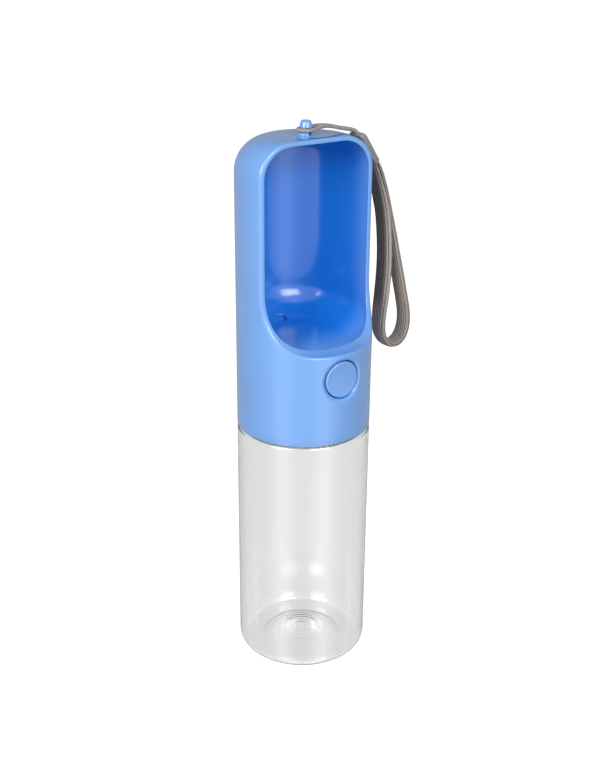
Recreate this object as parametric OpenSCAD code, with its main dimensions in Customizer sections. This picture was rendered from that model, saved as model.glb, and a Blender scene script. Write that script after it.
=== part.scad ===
// Dog travel water bottle: a clear bottle that screws into a drinking head.
// The head is a tall cylinder with its front cut away, so that its inside is a
// trough. A push button on the front opens a valve between bottle and trough.
// Millimetres. The origin is the middle of the bottle's base, +Z is up, the
// trough faces -Y and the wrist strap hangs on the +X side.

/* [Bottle] */
// Outside diameter of the bottle and of the drinking head
body_d = 70; // [68:0.5:76]
// Height of the bottle's shoulder above the table
bottle_h = 134; // [110:2:170]
// Wall of the clear bottle
bottle_wall = 1.8; // [1.4:0.1:2.2]
// Radius of the rounded heel
heel_r = 6; // [4:0.5:9]
// Radius of the rounded shoulder under the head
shoulder_r = 2.5; // [2.3:0.1:4]
// Height of the dome pushed up into the base
punt_h = 5; // [3:0.5:8]
// Radius of that dome's rim
punt_rim_r = 22; // [16:1:24]

/* [Bottle neck] */
// Step from the bottle's side in to its threaded neck
neck_step = 11; // [10.5:0.25:12]
// Wall of the neck
neck_wall = 2; // [1.6:0.1:2.6]
// Height of the neck above the shoulder
neck_h = 15.4; // [14.6:0.2:16.4]
// Rise of the thread in one turn
thread_lead = 5; // [4.6:0.1:5.4]
// Height of a thread ridge above its wall
thread_depth = 1.2; // [1:0.1:1.3]
// Turns of thread on the neck
thread_turns = 1.75; // [1.25:0.25:1.75]
// Thickness of the sealing ring on the neck
gasket_h = 1.4; // [1:0.1:1.8]

/* [Drinking head] */
// Height of the head from its lower edge to the crown
head_h = 149.7; // [140:0.5:165]
// Wall of the head
head_wall = 2.5; // [2.2:0.1:2.8]
// Radius of the crown's rounded edge
crown_r = 17; // [13:0.5:18]
// Gap between the head's lower edge and the bottle's shoulder
head_gap = 0.3; // [0.2:0.1:0.6]
// Distance of the window's upright plane in front of the axis
window_y = 11; // [9:0.5:13]
// Height of the trough's front lip above the head's lower edge
sill_h = 47.7; // [46.5:0.1:52]
// Radius of the window's sweep from upright to level
sweep_r = 24; // [20:0.5:26]

/* [Trough] */
// Slope of the trough's floor, higher at the back
floor_tilt = 5; // [3:0.5:7]
// Height of the floor on the axis above the front lip
floor_rise = 1.3; // [1:0.1:2.5]
// Thickness of the floor
floor_t = 2.5; // [2.2:0.1:3]
// Radius between the floor and the walls
bowl_r = 18; // [14:0.5:19]
// How far the flat of the floor is drawn out to the front
bowl_front = 9; // [5:0.5:11]
// Width of the front lip on the axis
lip_w = 8.3; // [6:0.1:10]
// Radius of the trough's front wall seen from above
lip_curve_r = 56; // [50:1:80]
// Radius of the trough's front corners seen from above
corner_r = 24; // [18:1:27]
// Diameter of the water outlet in the floor
outlet_d = 4.9; // [4:0.1:5.2]
// Distance of the outlet's middle from the trough's back wall
outlet_inset = 11.8; // [11:0.1:12.5]

/* [Button] */
// Diameter of the push button
button_d = 19; // [17:0.5:20]
// Gap round the button
button_gap = 0.35; // [0.25:0.05:0.6]
// Distance of the button's middle under the trough's lip
button_drop = 13.4; // [13:0.1:14.5]
// Travel of the button
press_travel = 3.5; // [2.5:0.25:3.5]
// Thickness of the button's cap
button_t = 5.5; // [4.5:0.25:6]
// Depth of the finger dish in the button's face
button_dish = 1; // [0.5:0.1:1.4]
// Width of the wedge that works the valve
wedge_w = 9; // [7:0.5:10]

/* [Valve] */
// Thickness of the deck between bottle and valve chamber
deck_t = 3; // [2.6:0.2:3.4]
// Diameter of the water port in the deck
port_d = 12; // [10:0.5:13]
// Diameter of the sealing plug
plug_d = 16; // [15:0.5:20]
// Thickness of the sealing plug
plug_t = 2.4; // [2:0.1:2.8]
// Diameter of the valve stem
stem_d = 4; // [3.6:0.1:4.2]
// Inside radius of the valve chamber
chamber_r = 9; // [8.5:0.1:9.5]
// Height of the valve chamber
chamber_h = 4.5; // [4.1:0.1:4.7]
// Wall of the valve chamber
chamber_wall = 2; // [1.8:0.1:2.4]
// Thickness of the chamber's cover
cover_t = 2.2; // [2.2:0.1:2.4]
// Thickness of the flat seal under the cover
seal_t = 0.6; // [0.5:0.1:0.8]
// Inside diameter of the riser tube
riser_bore = 5.2; // [4.8:0.1:5.4]
// Wall of the riser tube
riser_wall = 1.4; // [1.2:0.1:1.5]
// Wire of both springs
wire_d = 0.7; // [0.5:0.05:0.8]

/* [Strap] */
// Diameter of the thin cord
cord_d = 1.9; // [1.6:0.1:2]
// Width of the wrist strap's webbing
strap_w = 10; // [8:0.5:11]
// Thickness of the webbing
strap_t = 1.8; // [1.4:0.1:1.9]
// Radius of the strap post at its foot
post_r = 4.2; // [4:0.1:5]
// Height of the strap post
post_h = 7.4; // [7:0.1:9]
// Width of the eye through the post
eye_w = 2.2; // [1.8:0.1:2.6]

/* [Hidden] */

$fn = 96;
e = 0.01;
part_reach = 2 * body_d;

// Clearances
fit_running = 0.05;
fit_face = 0.1;
fit_insert = 0.3;
fit_thread = 0.5;

// Colours
head_blue = [0.33, 0.56, 0.93];
clear_plastic = [0.85, 0.88, 0.90, 0.45];
inner_white = [0.90, 0.91, 0.92];
silicone = [0.82, 0.84, 0.85];
steel = [0.70, 0.71, 0.73];
taupe = [0.66, 0.62, 0.58];
ferrule_grey = [0.53, 0.54, 0.53];

// Bottle and neck
body_r = body_d / 2;
neck_r = body_r - neck_step;
neck_top = bottle_h + neck_h;
punt_r = (pow(punt_rim_r, 2) + pow(punt_h, 2)) / (2 * punt_h);
thread_root_h = 0.6 * thread_lead / 2;
thread_crest_h = 0.28 * thread_lead / 2;
thread_bite = 0.4;
thread_seg = 36;
thread_start = 4;
neck_thread_z = bottle_h + thread_start;

// Head
head_z = bottle_h + head_gap;
crown_z = head_z + head_h;
inner_r = body_r - head_wall;
outlet_y = inner_r - outlet_inset;
sill_z = head_z + sill_h;
floor_z = sill_z + floor_rise;
bowl_flare = 1.7;
lip_curve_y = lip_curve_r + lip_w - body_r;
corner_y = (pow(lip_curve_y, 2) + pow(inner_r - corner_r, 2) - pow(lip_curve_r - corner_r, 2))
    / (2 * lip_curve_y);
corner_x = sqrt(pow(inner_r - corner_r, 2) - pow(corner_y, 2));
function ceiling_z(y) = floor_z - floor_t / cos(floor_tilt) + y * tan(floor_tilt);

// Collar that holds the thread, with the valve deck on top
gasket_z = neck_top + fit_face;
deck_z = gasket_z + gasket_h + fit_face;
deck_top = deck_z + deck_t;
collar_r = inner_r - fit_insert;
collar_recess = 2.7;
collar_z = head_z + collar_recess;
collar_bore = neck_r + thread_depth + fit_thread;
collar_thread_turns = 1.25;
collar_thread_z = neck_thread_z + thread_lead / 2;

// Screws that hold the collar up against the head
screw_circle_r = (collar_bore + collar_r) / 2;
collar_screw_angles = [35, 145, 215, 325];
collar_boss_r = inner_r - screw_circle_r + 0.1;
collar_shank_r = 1.2;
collar_head_r = 2.1;
collar_head_h = 1.8;
collar_seat_t = 7;
collar_seat_z = deck_top - collar_seat_t;
collar_screw_bite = 8;
collar_screw_top = deck_top + collar_screw_bite;
pilot_room = 1;

// Valve stack
cover_z = deck_top + chamber_h + seal_t;
cover_top = cover_z + cover_t;
stem_r = stem_d / 2;
plug_r = plug_d / 2;
plug_z = deck_z - fit_face - plug_t;
stem_flange_w = 3;
stem_flange_r = stem_r + stem_flange_w;
stem_flange_h = 1.4;
stem_guide_wall = 2.5;
stem_guide_r = stem_r + stem_guide_wall;
stem_guide_h = 2.7;
ring_wire_r = 0.85;
duct_half_w = 3.5;
duct_end = outlet_y + duct_half_w;
lug_r = 3.4;
lug_reach = 3;
lug_side_x = chamber_r + chamber_wall + lug_reach;
lug_rear_x = duct_half_w + chamber_wall + lug_reach;
lug_places = [[-lug_side_x, 0], [lug_side_x, 0], [-lug_rear_x, outlet_y], [lug_rear_x, outlet_y]];
small_shank_r = 0.95;
small_head_r = 2;
small_head_h = 1.4;

// Riser between the chamber and the trough
riser_r = riser_bore / 2 + riser_wall;
riser_socket_wall = 1.6;
riser_socket_r = riser_r + riser_socket_wall;
riser_socket_h = 3;
outlet_boss_wall = 2.5;
outlet_boss_r = riser_r + outlet_boss_wall;
outlet_seat_t = 2.6;
outlet_seat_z = ceiling_z(outlet_y) - outlet_seat_t;
outlet_socket_h = 4;
riser_seal_h = 1.4;

// Button, slider and cam
button_z = sill_z - button_drop;
button_r = button_d / 2;
button_hole_r = button_r + button_gap;
button_guide_l = 6;
button_back_y = -body_r + button_t;
face_r = body_r - 0.2;
dish_r = 40;
bracket_inset = 15;
bracket_y = bracket_inset - inner_r;
bracket_t = 2.5;
bracket_half_w = 9;
bracket_clear = 1.5;
foot_half_w = 13.5;
foot_t = 2.5;
foot_l = 6.5;
foot_front_y = bracket_y - foot_l;
foot_screw_x = 11;
foot_screw_y = (bracket_y - bracket_t + foot_front_y) / 2 + 0.75;
slider_neck_r = 4;
neck_plug = 3;
spring_r = stem_guide_r + 1;
cam_r = spring_r + wire_d / 2 + 0.35;
cam_drop = 0.1;
cam_rise = 8.9;
cam_bite = 4;
slope_rise = 6.7;
wedge_drop = 5.6;
wedge_clear = 1.1;
cam_z = button_z - cam_drop;
cam_top = button_z + cam_rise;
cam_lift = button_z + slope_rise;
wedge_low = button_z - wedge_drop;
spring_clear = 1.6;
button_spring_r = slider_neck_r + spring_clear;

// Strap post
post_neck_r = 2.7;
post_foot_h = 1.8;
post_neck_h = cord_d + 0.5;
post_cap_r = 3.3;
post_cap_top_r = 2.5;
post_spigot_r = 2.55;

// Cord: half of its route, from inside the ferrule to the tangent at the post,
// then round the post and back at -Y
cord_lead = [
    [32.1, 1.1, 279.9], [30.2, 1.1, 282.8], [28.0, 1.1, 284.3], [25.0, 1.1, 285.0],
    [21.0, 1.1, 285.8], [17.0, 1.1, 286.8], [13.0, 1.1, 287.6], [10.0, 1.7, 287.9],
    [7.0, 2.4, 287.8], [4.0, 3.1, 287.4]
];
cord_turn_r = 3.9;
cord_turn_z = 287;
cord_turn_from = 70;
cord_turn_steps = 11;
cord_sides = 8;

// Webbing: its whole route in the XZ plane, from the inner end in the ferrule
// down, round the bottom of the loop and up to the outer end
strap_route = [
    [36.3, 273.1], [37.1, 271.8], [40.2, 267.1], [41.4, 264.2], [42.9, 259.6],
    [44.6, 254.0], [46.5, 247.0], [48.4, 239.4], [49.7, 230.0], [50.5, 219.0],
    [50.4, 207.0], [49.6, 196.0], [48.8, 187.0], [48.7, 179.0], [49.8, 172.8],
    [52.2, 168.8], [56.0, 166.5], [60.0, 166.7], [63.4, 169.3], [65.5, 174.2],
    [66.0, 180.0], [65.0, 187.0], [62.7, 196.5], [60.3, 206.0], [57.1, 218.0],
    [54.0, 230.0], [51.1, 240.5], [48.9, 249.0], [47.0, 255.2], [45.1, 260.6],
    [43.0, 265.1], [41.2, 267.8], [38.1, 272.5], [35.6, 276.2]
];
strap_end_t = 1.1;
strap_end_w = strap_w - 1.8;
strap_end_points = 3;

// Ferrule, lined up with the ends of the webbing
ferrule_l = 18;
ferrule_t = 3.8;
ferrule_wall = 1.1;
pocket_w = strap_end_w + 0.3;
ferrule_w = pocket_w + 2 * ferrule_wall;
ferrule_angle = 33.4;
ferrule_foot = [40.65, 267.58];
pocket_l = 11;
pocket_t = 2.5;
ferrule_nose_t = 2.8;

// ---------------------------------------------------------------- helpers

// A ridge of trapezium section that climbs round the Z axis
module thread_ridge(root_r, crest_r, start_z, turns) {
    steps = round(turns * thread_seg);
    outside = crest_r > root_r;
    function crest_at(i) = root_r + (crest_r - root_r) * max(0.3, min(1, i / 3, (steps - i) / 3));
    function section(i) = outside
        ? [[root_r, -thread_root_h / 2], [crest_at(i), -thread_crest_h / 2],
           [crest_at(i), thread_crest_h / 2], [root_r, thread_root_h / 2]]
        : [[crest_at(i), -thread_crest_h / 2], [root_r, -thread_root_h / 2],
           [root_r, thread_root_h / 2], [crest_at(i), thread_crest_h / 2]];
    rings = [for (i = [0:steps])
        [for (p = section(i))
            [p[0] * cos(i * 360 / thread_seg), p[0] * sin(i * 360 / thread_seg),
             start_z + i * thread_lead / thread_seg + p[1]]]];
    skin(rings);
}

// A closed solid through a row of rings with equal numbers of points
module skin(rings) {
    n = len(rings[0]);
    last = len(rings) - 1;
    points = [for (ring = rings) each ring];
    sides = [for (i = [0:last - 1]) for (j = [0:n - 1])
        let (a = i * n + j, b = i * n + (j + 1) % n)
        each [[a, b, b + n], [a, b + n, a + n]]];
    start_cap = [[for (j = [n - 1:-1:0]) j]];
    end_cap = [[for (j = [0:n - 1]) last * n + j]];
    polyhedron(points = points, faces = concat(start_cap, sides, end_cap));
}

function unit(v) = v / norm(v);
function heading(path, i) =
    unit(path[min(i + 1, len(path) - 1)] - path[max(i - 1, 0)]);

// A round tube along a route in space
module round_tube(path, d, sides) {
    up = [0, 0, 1];
    skin([for (i = [0:len(path) - 1])
        let (t = heading(path, i), side = unit(cross(t, up)), top = cross(side, t))
        [for (k = [0:sides - 1])
            path[i] + d / 2 * (cos(k * 360 / sides) * side + sin(k * 360 / sides) * top)]]);
}

// A coil spring that stands on z = 0, with flat room for its wire at both ends
module coil(mean_r, height, turns) {
    seg = 16;
    sides = 6;
    steps = turns * seg;
    start = wire_d / 2 + fit_running;
    rise = height - 2 * start;
    path = [for (i = [0:steps])
        [mean_r * cos(i * 360 / seg), mean_r * sin(i * 360 / seg), start + rise * i / steps]];
    skin([for (i = [0:steps])
        let (a = i * 360 / seg, out = [cos(a), sin(a), 0])
        [for (k = [0:sides - 1])
            path[i] + wire_d / 2 * (cos(k * 360 / sides) * out + [0, 0, sin(k * 360 / sides)])]]);
}

// A screw that points up from z = 0, with its head below and a cross in it
module screw(head_r, head_h, shank_r, shank_l) {
    cross_w = 0.3 * head_r;
    cross_l = 1.3 * head_r;
    difference() {
        union() {
            translate([0, 0, -head_h]) cylinder(r = head_r, h = head_h);
            cylinder(r = shank_r, h = shank_l);
        }
        for (a = [0, 90]) {
            rotate([0, 0, a])
                translate([-cross_l / 2, -cross_w / 2, -head_h - e])
                    cube([cross_l, cross_w, head_h / 2]);
        }
    }
}

module along_y() {
    rotate([-90, 0, 0]) children();
}

// ----------------------------------------------------------------- bottle

// Half section of the bottle at a depth below its outside
module bottle_section(depth) {
    heel = heel_r - depth;
    shoulder = shoulder_r - depth;
    translate([0, heel_r])
        square([body_r - depth, bottle_h - heel_r - shoulder_r]);
    translate([0, depth])
        square([body_r - heel_r, bottle_h / 2]);
    translate([body_r - heel_r, heel_r])
        circle(r = heel);
    translate([0, bottle_h / 2])
        square([body_r - shoulder_r, bottle_h / 2 - depth]);
    translate([body_r - shoulder_r, bottle_h - shoulder_r])
        circle(r = shoulder);
}

module punt(depth) {
    translate([0, punt_h - punt_r])
        circle(r = punt_r + depth);
}

module bottle() {
    color(clear_plastic) {
        rotate_extrude() {
            difference() {
                union() {
                    bottle_section(0);
                    translate([0, bottle_h / 2])
                        square([neck_r, neck_top - bottle_h / 2]);
                }
                punt(0);
                difference() {
                    union() {
                        bottle_section(bottle_wall);
                        translate([0, bottle_h / 2])
                            square([neck_r - neck_wall, neck_top]);
                    }
                    punt(bottle_wall);
                }
            }
        }
        thread_ridge(neck_r - thread_bite, neck_r + thread_depth, neck_thread_z, thread_turns);
    }
}

module neck_gasket() {
    color(silicone)
        translate([0, 0, gasket_z])
            difference() {
                cylinder(r = collar_bore - fit_insert, h = gasket_h);
                translate([0, 0, -e])
                    cylinder(r = neck_r - neck_wall, h = gasket_h + 2 * e);
            }
}

// ---------------------------------------------------------- drinking head

module rounded_can(r, z_low, z_high, edge) {
    rotate_extrude() {
        translate([0, z_low])
            square([r - edge, z_high - z_low]);
        translate([0, z_low])
            square([r, z_high - edge - z_low]);
        translate([r - edge, z_high - edge])
            intersection() {
                circle(r = edge);
                square(edge);
            }
    }
}

// What the window takes off the front, swept along X
module window_cut() {
    translate([-body_d, 0, 0])
        rotate([90, 0, 90])
            linear_extrude(height = 2 * body_d) {
                translate([-part_reach, sill_z + sweep_r])
                    square([part_reach - window_y, head_h]);
                translate([-part_reach, sill_z])
                    square([part_reach - window_y - sweep_r, head_h]);
                translate([-window_y - sweep_r, sill_z + sweep_r])
                    circle(r = sweep_r);
            }
}

// Section of the bowl from its middle line out, open to the top
module bowl_section() {
    foot_r = inner_r + bowl_flare - bowl_r;
    square([foot_r, head_h]);
    intersection() {
        translate([foot_r, bowl_r])
            circle(r = bowl_r);
        square([part_reach, bowl_r]);
    }
    translate([0, bowl_r])
        square([part_reach, head_h]);
}

// Tilted bowl that shapes the trough's floor, longer to the front than round
module trough_bowl() {
    translate([0, 0, floor_z])
        rotate([floor_tilt, 0, 0]) {
            for (y = [-bowl_front, 0]) {
                translate([0, y, 0])
                    rotate_extrude()
                        bowl_section();
            }
            rotate([90, 0, 0])
                linear_extrude(height = bowl_front) {
                    bowl_section();
                    mirror([1, 0]) bowl_section();
                }
        }
}

// Plan of the trough: its front wall and corners, open to the back
module trough_plan() {
    front_half_w = corner_x * lip_curve_r / (lip_curve_r - corner_r);
    side_y = corner_y * inner_r / (inner_r - corner_r);
    intersection() {
        translate([0, lip_curve_y]) circle(r = lip_curve_r);
        union() {
            translate([-front_half_w, -body_r]) square([2 * front_half_w, body_r]);
            translate([-body_r, side_y]) square([2 * body_r, 2 * body_r]);
            for (x = [-corner_x, corner_x]) {
                translate([x, corner_y]) circle(r = corner_r);
            }
        }
    }
}

module trough() {
    intersection() {
        rounded_can(inner_r, sill_z - body_r, crown_z - head_wall, crown_r - head_wall);
        trough_bowl();
        translate([0, 0, head_z])
            linear_extrude(height = head_h)
                trough_plan();
    }
}

// Dry space under the trough for the collar and the valve
module dry_space() {
    intersection() {
        translate([0, 0, head_z - e])
            cylinder(r = inner_r, h = head_h / 2);
        translate([0, 0, ceiling_z(0)])
            rotate([floor_tilt, 0, 0])
                translate([-part_reach, -part_reach, -head_h])
                    cube([2 * part_reach, 2 * part_reach, head_h]);
    }
}

module at_collar_screws() {
    for (a = collar_screw_angles) {
        rotate([0, 0, a])
            translate([screw_circle_r, 0, 0])
                children();
    }
}

module head_bosses() {
    roof_bite = 1.2;
    for (a = collar_screw_angles) {
        boss_top = ceiling_z(screw_circle_r * sin(a)) + roof_bite;
        rotate([0, 0, a])
            translate([screw_circle_r, 0, deck_top + fit_running])
                cylinder(r = collar_boss_r, h = boss_top - deck_top - fit_running);
    }
    translate([0, outlet_y, outlet_seat_z - outlet_socket_h])
        cylinder(r = outlet_boss_r, h = ceiling_z(outlet_y) + roof_bite - outlet_seat_z + outlet_socket_h);
    intersection() {
        translate([0, 1 - inner_r, button_z])
            along_y()
                cylinder(r = button_hole_r + 1.6, h = button_guide_l);
        translate([0, 0, head_z])
            cylinder(r = inner_r + e, h = head_h);
    }
}

module drinking_head() {
    sink = 1.75;
    color(head_blue)
        difference() {
            union() {
                difference() {
                    rounded_can(body_r, head_z, crown_z, crown_r);
                    window_cut();
                    trough();
                    dry_space();
                }
                head_bosses();
            }
            // hole for the button, with its countersink
            translate([0, -body_r - 1, button_z])
                along_y()
                    cylinder(r = button_hole_r, h = 1 + head_wall + 1 + button_guide_l + e);
            translate([0, -body_r - 0.3, button_z])
                along_y()
                    cylinder(r1 = button_hole_r + sink, r2 = button_hole_r, h = sink);
            // water outlet and the socket for the riser
            translate([0, outlet_y, outlet_seat_z - e])
                cylinder(r = outlet_d / 2, h = bowl_r);
            translate([0, outlet_y, outlet_seat_z - outlet_socket_h - e])
                cylinder(r = riser_r + fit_insert, h = outlet_socket_h + e);
            // pilot holes for the collar's screws
            at_collar_screws()
                translate([0, 0, deck_top - e])
                    cylinder(r = collar_shank_r + fit_running, h = collar_screw_bite + pilot_room);
            // seat of the strap post
            translate([0, 0, crown_z - 2 * head_wall])
                cylinder(r = post_spigot_r + fit_running, h = 3 * head_wall);
        }
}

// ------------------------------------------------------ collar and chamber

// Plan of the valve chamber with the duct to the riser, grown by a margin
module chamber_plan(margin) {
    circle(r = chamber_r + margin);
    translate([-duct_half_w - margin, 0])
        square([2 * (duct_half_w + margin), duct_end + margin]);
}

module lugs() {
    for (p = lug_places) {
        translate(p) circle(r = lug_r);
    }
}

module thread_collar() {
    color(inner_white) {
        difference() {
            union() {
                translate([0, 0, collar_z])
                    cylinder(r = collar_r, h = deck_top - collar_z);
                translate([0, 0, deck_top - e])
                    linear_extrude(height = chamber_h + e) {
                        chamber_plan(chamber_wall);
                        lugs();
                    }
            }
            translate([0, 0, collar_z - e])
                cylinder(r = collar_bore, h = deck_z - collar_z + e);
            translate([0, 0, deck_z - e])
                cylinder(r = port_d / 2, h = 2 * deck_t);
            translate([0, 0, deck_top])
                linear_extrude(height = 2 * chamber_h)
                    chamber_plan(0);
            at_collar_screws() {
                translate([0, 0, collar_z - e])
                    cylinder(r = collar_head_r + 0.2, h = collar_seat_z - collar_z + e);
                translate([0, 0, collar_z])
                    cylinder(r = collar_shank_r + 0.1, h = deck_top);
            }
            for (p = lug_places) {
                translate([p[0], p[1], deck_top + 0.5])
                    cylinder(r = small_shank_r + fit_running, h = 2 * chamber_h);
            }
            for (x = [-foot_screw_x, foot_screw_x]) {
                translate([x, foot_screw_y, deck_top - deck_t + 0.6])
                    cylinder(r = small_shank_r + fit_running, h = deck_t);
            }
        }
        thread_ridge(collar_bore + thread_bite, collar_bore - thread_depth, collar_thread_z,
            collar_thread_turns);
    }
}

module collar_screws() {
    color(steel)
        at_collar_screws()
            translate([0, 0, collar_seat_z])
                screw(collar_head_r, collar_head_h, collar_shank_r, collar_screw_top - collar_seat_z);
}

module chamber_seal() {
    edge = 0.2;
    color(silicone)
        translate([0, 0, deck_top + chamber_h])
            linear_extrude(height = seal_t)
                difference() {
                    chamber_plan(chamber_wall - edge);
                    chamber_plan(edge);
                }
}

module valve_cover() {
    ring_pocket_r = stem_r + 2 * ring_wire_r + 2 * fit_running;
    color(inner_white)
        difference() {
            union() {
                translate([0, 0, cover_z])
                    linear_extrude(height = cover_t) {
                        chamber_plan(chamber_wall);
                        lugs();
                    }
                translate([0, 0, cover_z])
                    cylinder(r = stem_guide_r, h = cover_t + stem_guide_h);
                translate([0, outlet_y, cover_z])
                    cylinder(r = riser_socket_r, h = cover_t + riser_socket_h);
            }
            translate([0, 0, cover_z - e])
                cylinder(r = stem_r + fit_running, h = 3 * cover_t + stem_guide_h);
            translate([0, 0, cover_z - e])
                cylinder(r = ring_pocket_r, h = 2 * ring_wire_r + fit_running + e);
            translate([0, outlet_y, cover_z - e])
                cylinder(r = riser_bore / 2, h = 3 * cover_t);
            translate([0, outlet_y, cover_top])
                cylinder(r = riser_r + fit_running, h = 2 * riser_socket_h);
            for (p = lug_places) {
                translate([p[0], p[1], cover_z - e])
                    cylinder(r = small_shank_r + 0.15, h = 2 * cover_t);
            }
        }
}

module cover_screws() {
    shank_l = cover_t + seal_t + chamber_h - 1;
    color(steel)
        for (p = lug_places) {
            translate([p[0], p[1], cover_top])
                mirror([0, 0, 1])
                    screw(small_head_r, small_head_h, small_shank_r, shank_l);
        }
}

module stem_o_ring() {
    color([0.2, 0.2, 0.21])
        translate([0, 0, cover_z + ring_wire_r])
            rotate_extrude()
                translate([stem_r + fit_running + ring_wire_r, 0])
                    circle(r = ring_wire_r, $fn = 32);
}

module riser_tube() {
    riser_z = cover_top + fit_running;
    riser_top = outlet_seat_z - riser_seal_h - 2 * fit_face;
    color(inner_white)
        translate([0, outlet_y, riser_z])
            difference() {
                cylinder(r = riser_r, h = riser_top - riser_z);
                translate([0, 0, -e])
                    cylinder(r = riser_bore / 2, h = riser_top - riser_z + 2 * e);
            }
}

module riser_seal() {
    color(silicone)
        translate([0, outlet_y, outlet_seat_z - riser_seal_h - fit_face])
            difference() {
                cylinder(r = riser_r + fit_insert - fit_running, h = riser_seal_h);
                translate([0, 0, -e])
                    cylinder(r = riser_bore / 2, h = riser_seal_h + 2 * e);
            }
}

// ------------------------------------------------------------------ valve

module valve_stem() {
    foot_z = plug_z - stem_flange_h;
    shoulder_z = plug_z + plug_t;
    color(inner_white) {
        translate([0, 0, foot_z])
            cylinder(r = stem_r, h = cam_z + cam_bite - foot_z);
        translate([0, 0, foot_z])
            cylinder(r = stem_flange_r, h = stem_flange_h);
        translate([0, 0, shoulder_z])
            cylinder(r = stem_r + 1.2, h = 1.5);
    }
}

module valve_plug() {
    color(silicone)
        translate([0, 0, plug_z])
            difference() {
                union() {
                    cylinder(r = plug_r, h = plug_t / 2);
                    translate([0, 0, plug_t / 2])
                        cylinder(r1 = plug_r, r2 = plug_r - plug_t / 4, h = plug_t / 2);
                }
                translate([0, 0, -e])
                    cylinder(r = stem_r, h = plug_t + 2 * e);
            }
}

// The stem's head: a round block whose top is cut at 45 degrees for the wedge
module stem_cam() {
    color(inner_white)
        difference() {
            translate([0, 0, cam_z])
                cylinder(r = cam_r, h = cam_top - cam_z);
            translate([-part_reach, 0, cam_lift])
                rotate([45, 0, 0])
                    translate([0, -part_reach, 0])
                        cube([2 * part_reach, 2 * part_reach, part_reach]);
            translate([0, 0, cam_z - e])
                cylinder(r = stem_r, h = cam_bite + e);
        }
}

module valve_spring() {
    color(steel)
        translate([0, 0, cover_top])
            coil(spring_r, cam_z - cover_top, 4);
}

// ----------------------------------------------------------------- button

module slide_bracket() {
    bracket_top = ceiling_z(bracket_y - bracket_t) - bracket_clear;
    color(inner_white)
        difference() {
            union() {
                translate([-bracket_half_w, bracket_y - bracket_t, deck_top])
                    cube([2 * bracket_half_w, bracket_t, bracket_top - deck_top]);
                translate([-foot_half_w, foot_front_y, deck_top])
                    cube([2 * foot_half_w, bracket_y - foot_front_y, foot_t]);
            }
            translate([0, bracket_y - bracket_t - e, button_z])
                along_y()
                    cylinder(r = slider_neck_r + fit_running, h = bracket_t + 2 * e);
            for (x = [-foot_screw_x, foot_screw_x]) {
                translate([x, foot_screw_y, deck_top - e])
                    cylinder(r = small_shank_r + 0.15, h = foot_t + 2 * e);
            }
        }
}

module bracket_screws() {
    color(steel)
        for (x = [-foot_screw_x, foot_screw_x]) {
            translate([x, foot_screw_y, deck_top + foot_t])
                mirror([0, 0, 1])
                    screw(small_head_r, small_head_h, small_shank_r, foot_t + deck_t - 0.8);
        }
}

module button() {
    color(head_blue)
        difference() {
            intersection() {
                translate([0, -part_reach, button_z])
                    along_y()
                        cylinder(r = button_r, h = part_reach + button_back_y);
                cylinder(r = face_r, h = part_reach + crown_z);
            }
            translate([0, -face_r - dish_r + button_dish, button_z])
                sphere(r = dish_r);
            translate([0, button_back_y - neck_plug, button_z])
                along_y()
                    cylinder(r = slider_neck_r + fit_running, h = part_reach);
        }
}

// Round neck through the bracket, then the block with the 45 degree wedge
module button_slider() {
    block_y = bracket_y + fit_running;
    slope_z = cam_lift + fit_face;
    block_h = cam_top - wedge_clear - wedge_low;
    neck_y = button_back_y - neck_plug + fit_running;
    color(inner_white) {
        translate([0, neck_y, button_z])
            along_y()
                cylinder(r = slider_neck_r, h = block_y - neck_y + e);
        difference() {
            translate([-wedge_w / 2, block_y, wedge_low])
                cube([wedge_w, 2 * body_r, block_h]);
            translate([-wedge_w, 0, slope_z])
                rotate([45, 0, 0])
                    translate([0, -part_reach, -2 * part_reach])
                        cube([2 * wedge_w, 3 * part_reach, 2 * part_reach]);
        }
    }
}

module button_spring() {
    spring_y = button_back_y;
    color(steel)
        translate([0, spring_y, button_z])
            along_y()
                coil(button_spring_r, bracket_y - bracket_t - spring_y, 4);
}

// ------------------------------------------------------------------ strap

module strap_post() {
    cap_z = post_foot_h + post_neck_h;
    edge = 0.4;
    color(head_blue)
        translate([0, 0, crown_z])
            difference() {
                rotate_extrude() {
                    translate([0, -head_wall])
                        square([post_spigot_r, head_wall + e]);
                    square([post_r, post_foot_h - edge]);
                    square([post_r - edge, post_foot_h]);
                    translate([post_r - edge, post_foot_h - edge])
                        circle(r = edge, $fn = 32);
                    square([post_neck_r, cap_z + e]);
                    polygon([[0, cap_z], [post_cap_r, cap_z], [post_cap_top_r, post_h - edge],
                             [post_cap_top_r - edge, post_h], [0, post_h]]);
                }
                translate([-eye_w / 2, -part_reach, 0.5])
                    cube([eye_w, 2 * part_reach, cap_z - 0.5]);
            }
}

function mirrored_y(p) = [p[0], -p[1], p[2]];

function cord_route() =
    let (last = len(cord_lead) - 1,
         sweep = 360 - 2 * cord_turn_from)
    concat(
        cord_lead,
        [for (i = [0:cord_turn_steps])
            let (a = cord_turn_from + sweep * i / cord_turn_steps)
            [cord_turn_r * cos(a), cord_turn_r * sin(a), cord_turn_z]],
        [for (i = [last:-1:0]) mirrored_y(cord_lead[i])]
    );

module strap_cord() {
    color(taupe)
        round_tube(cord_route(), cord_d, cord_sides);
}

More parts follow.
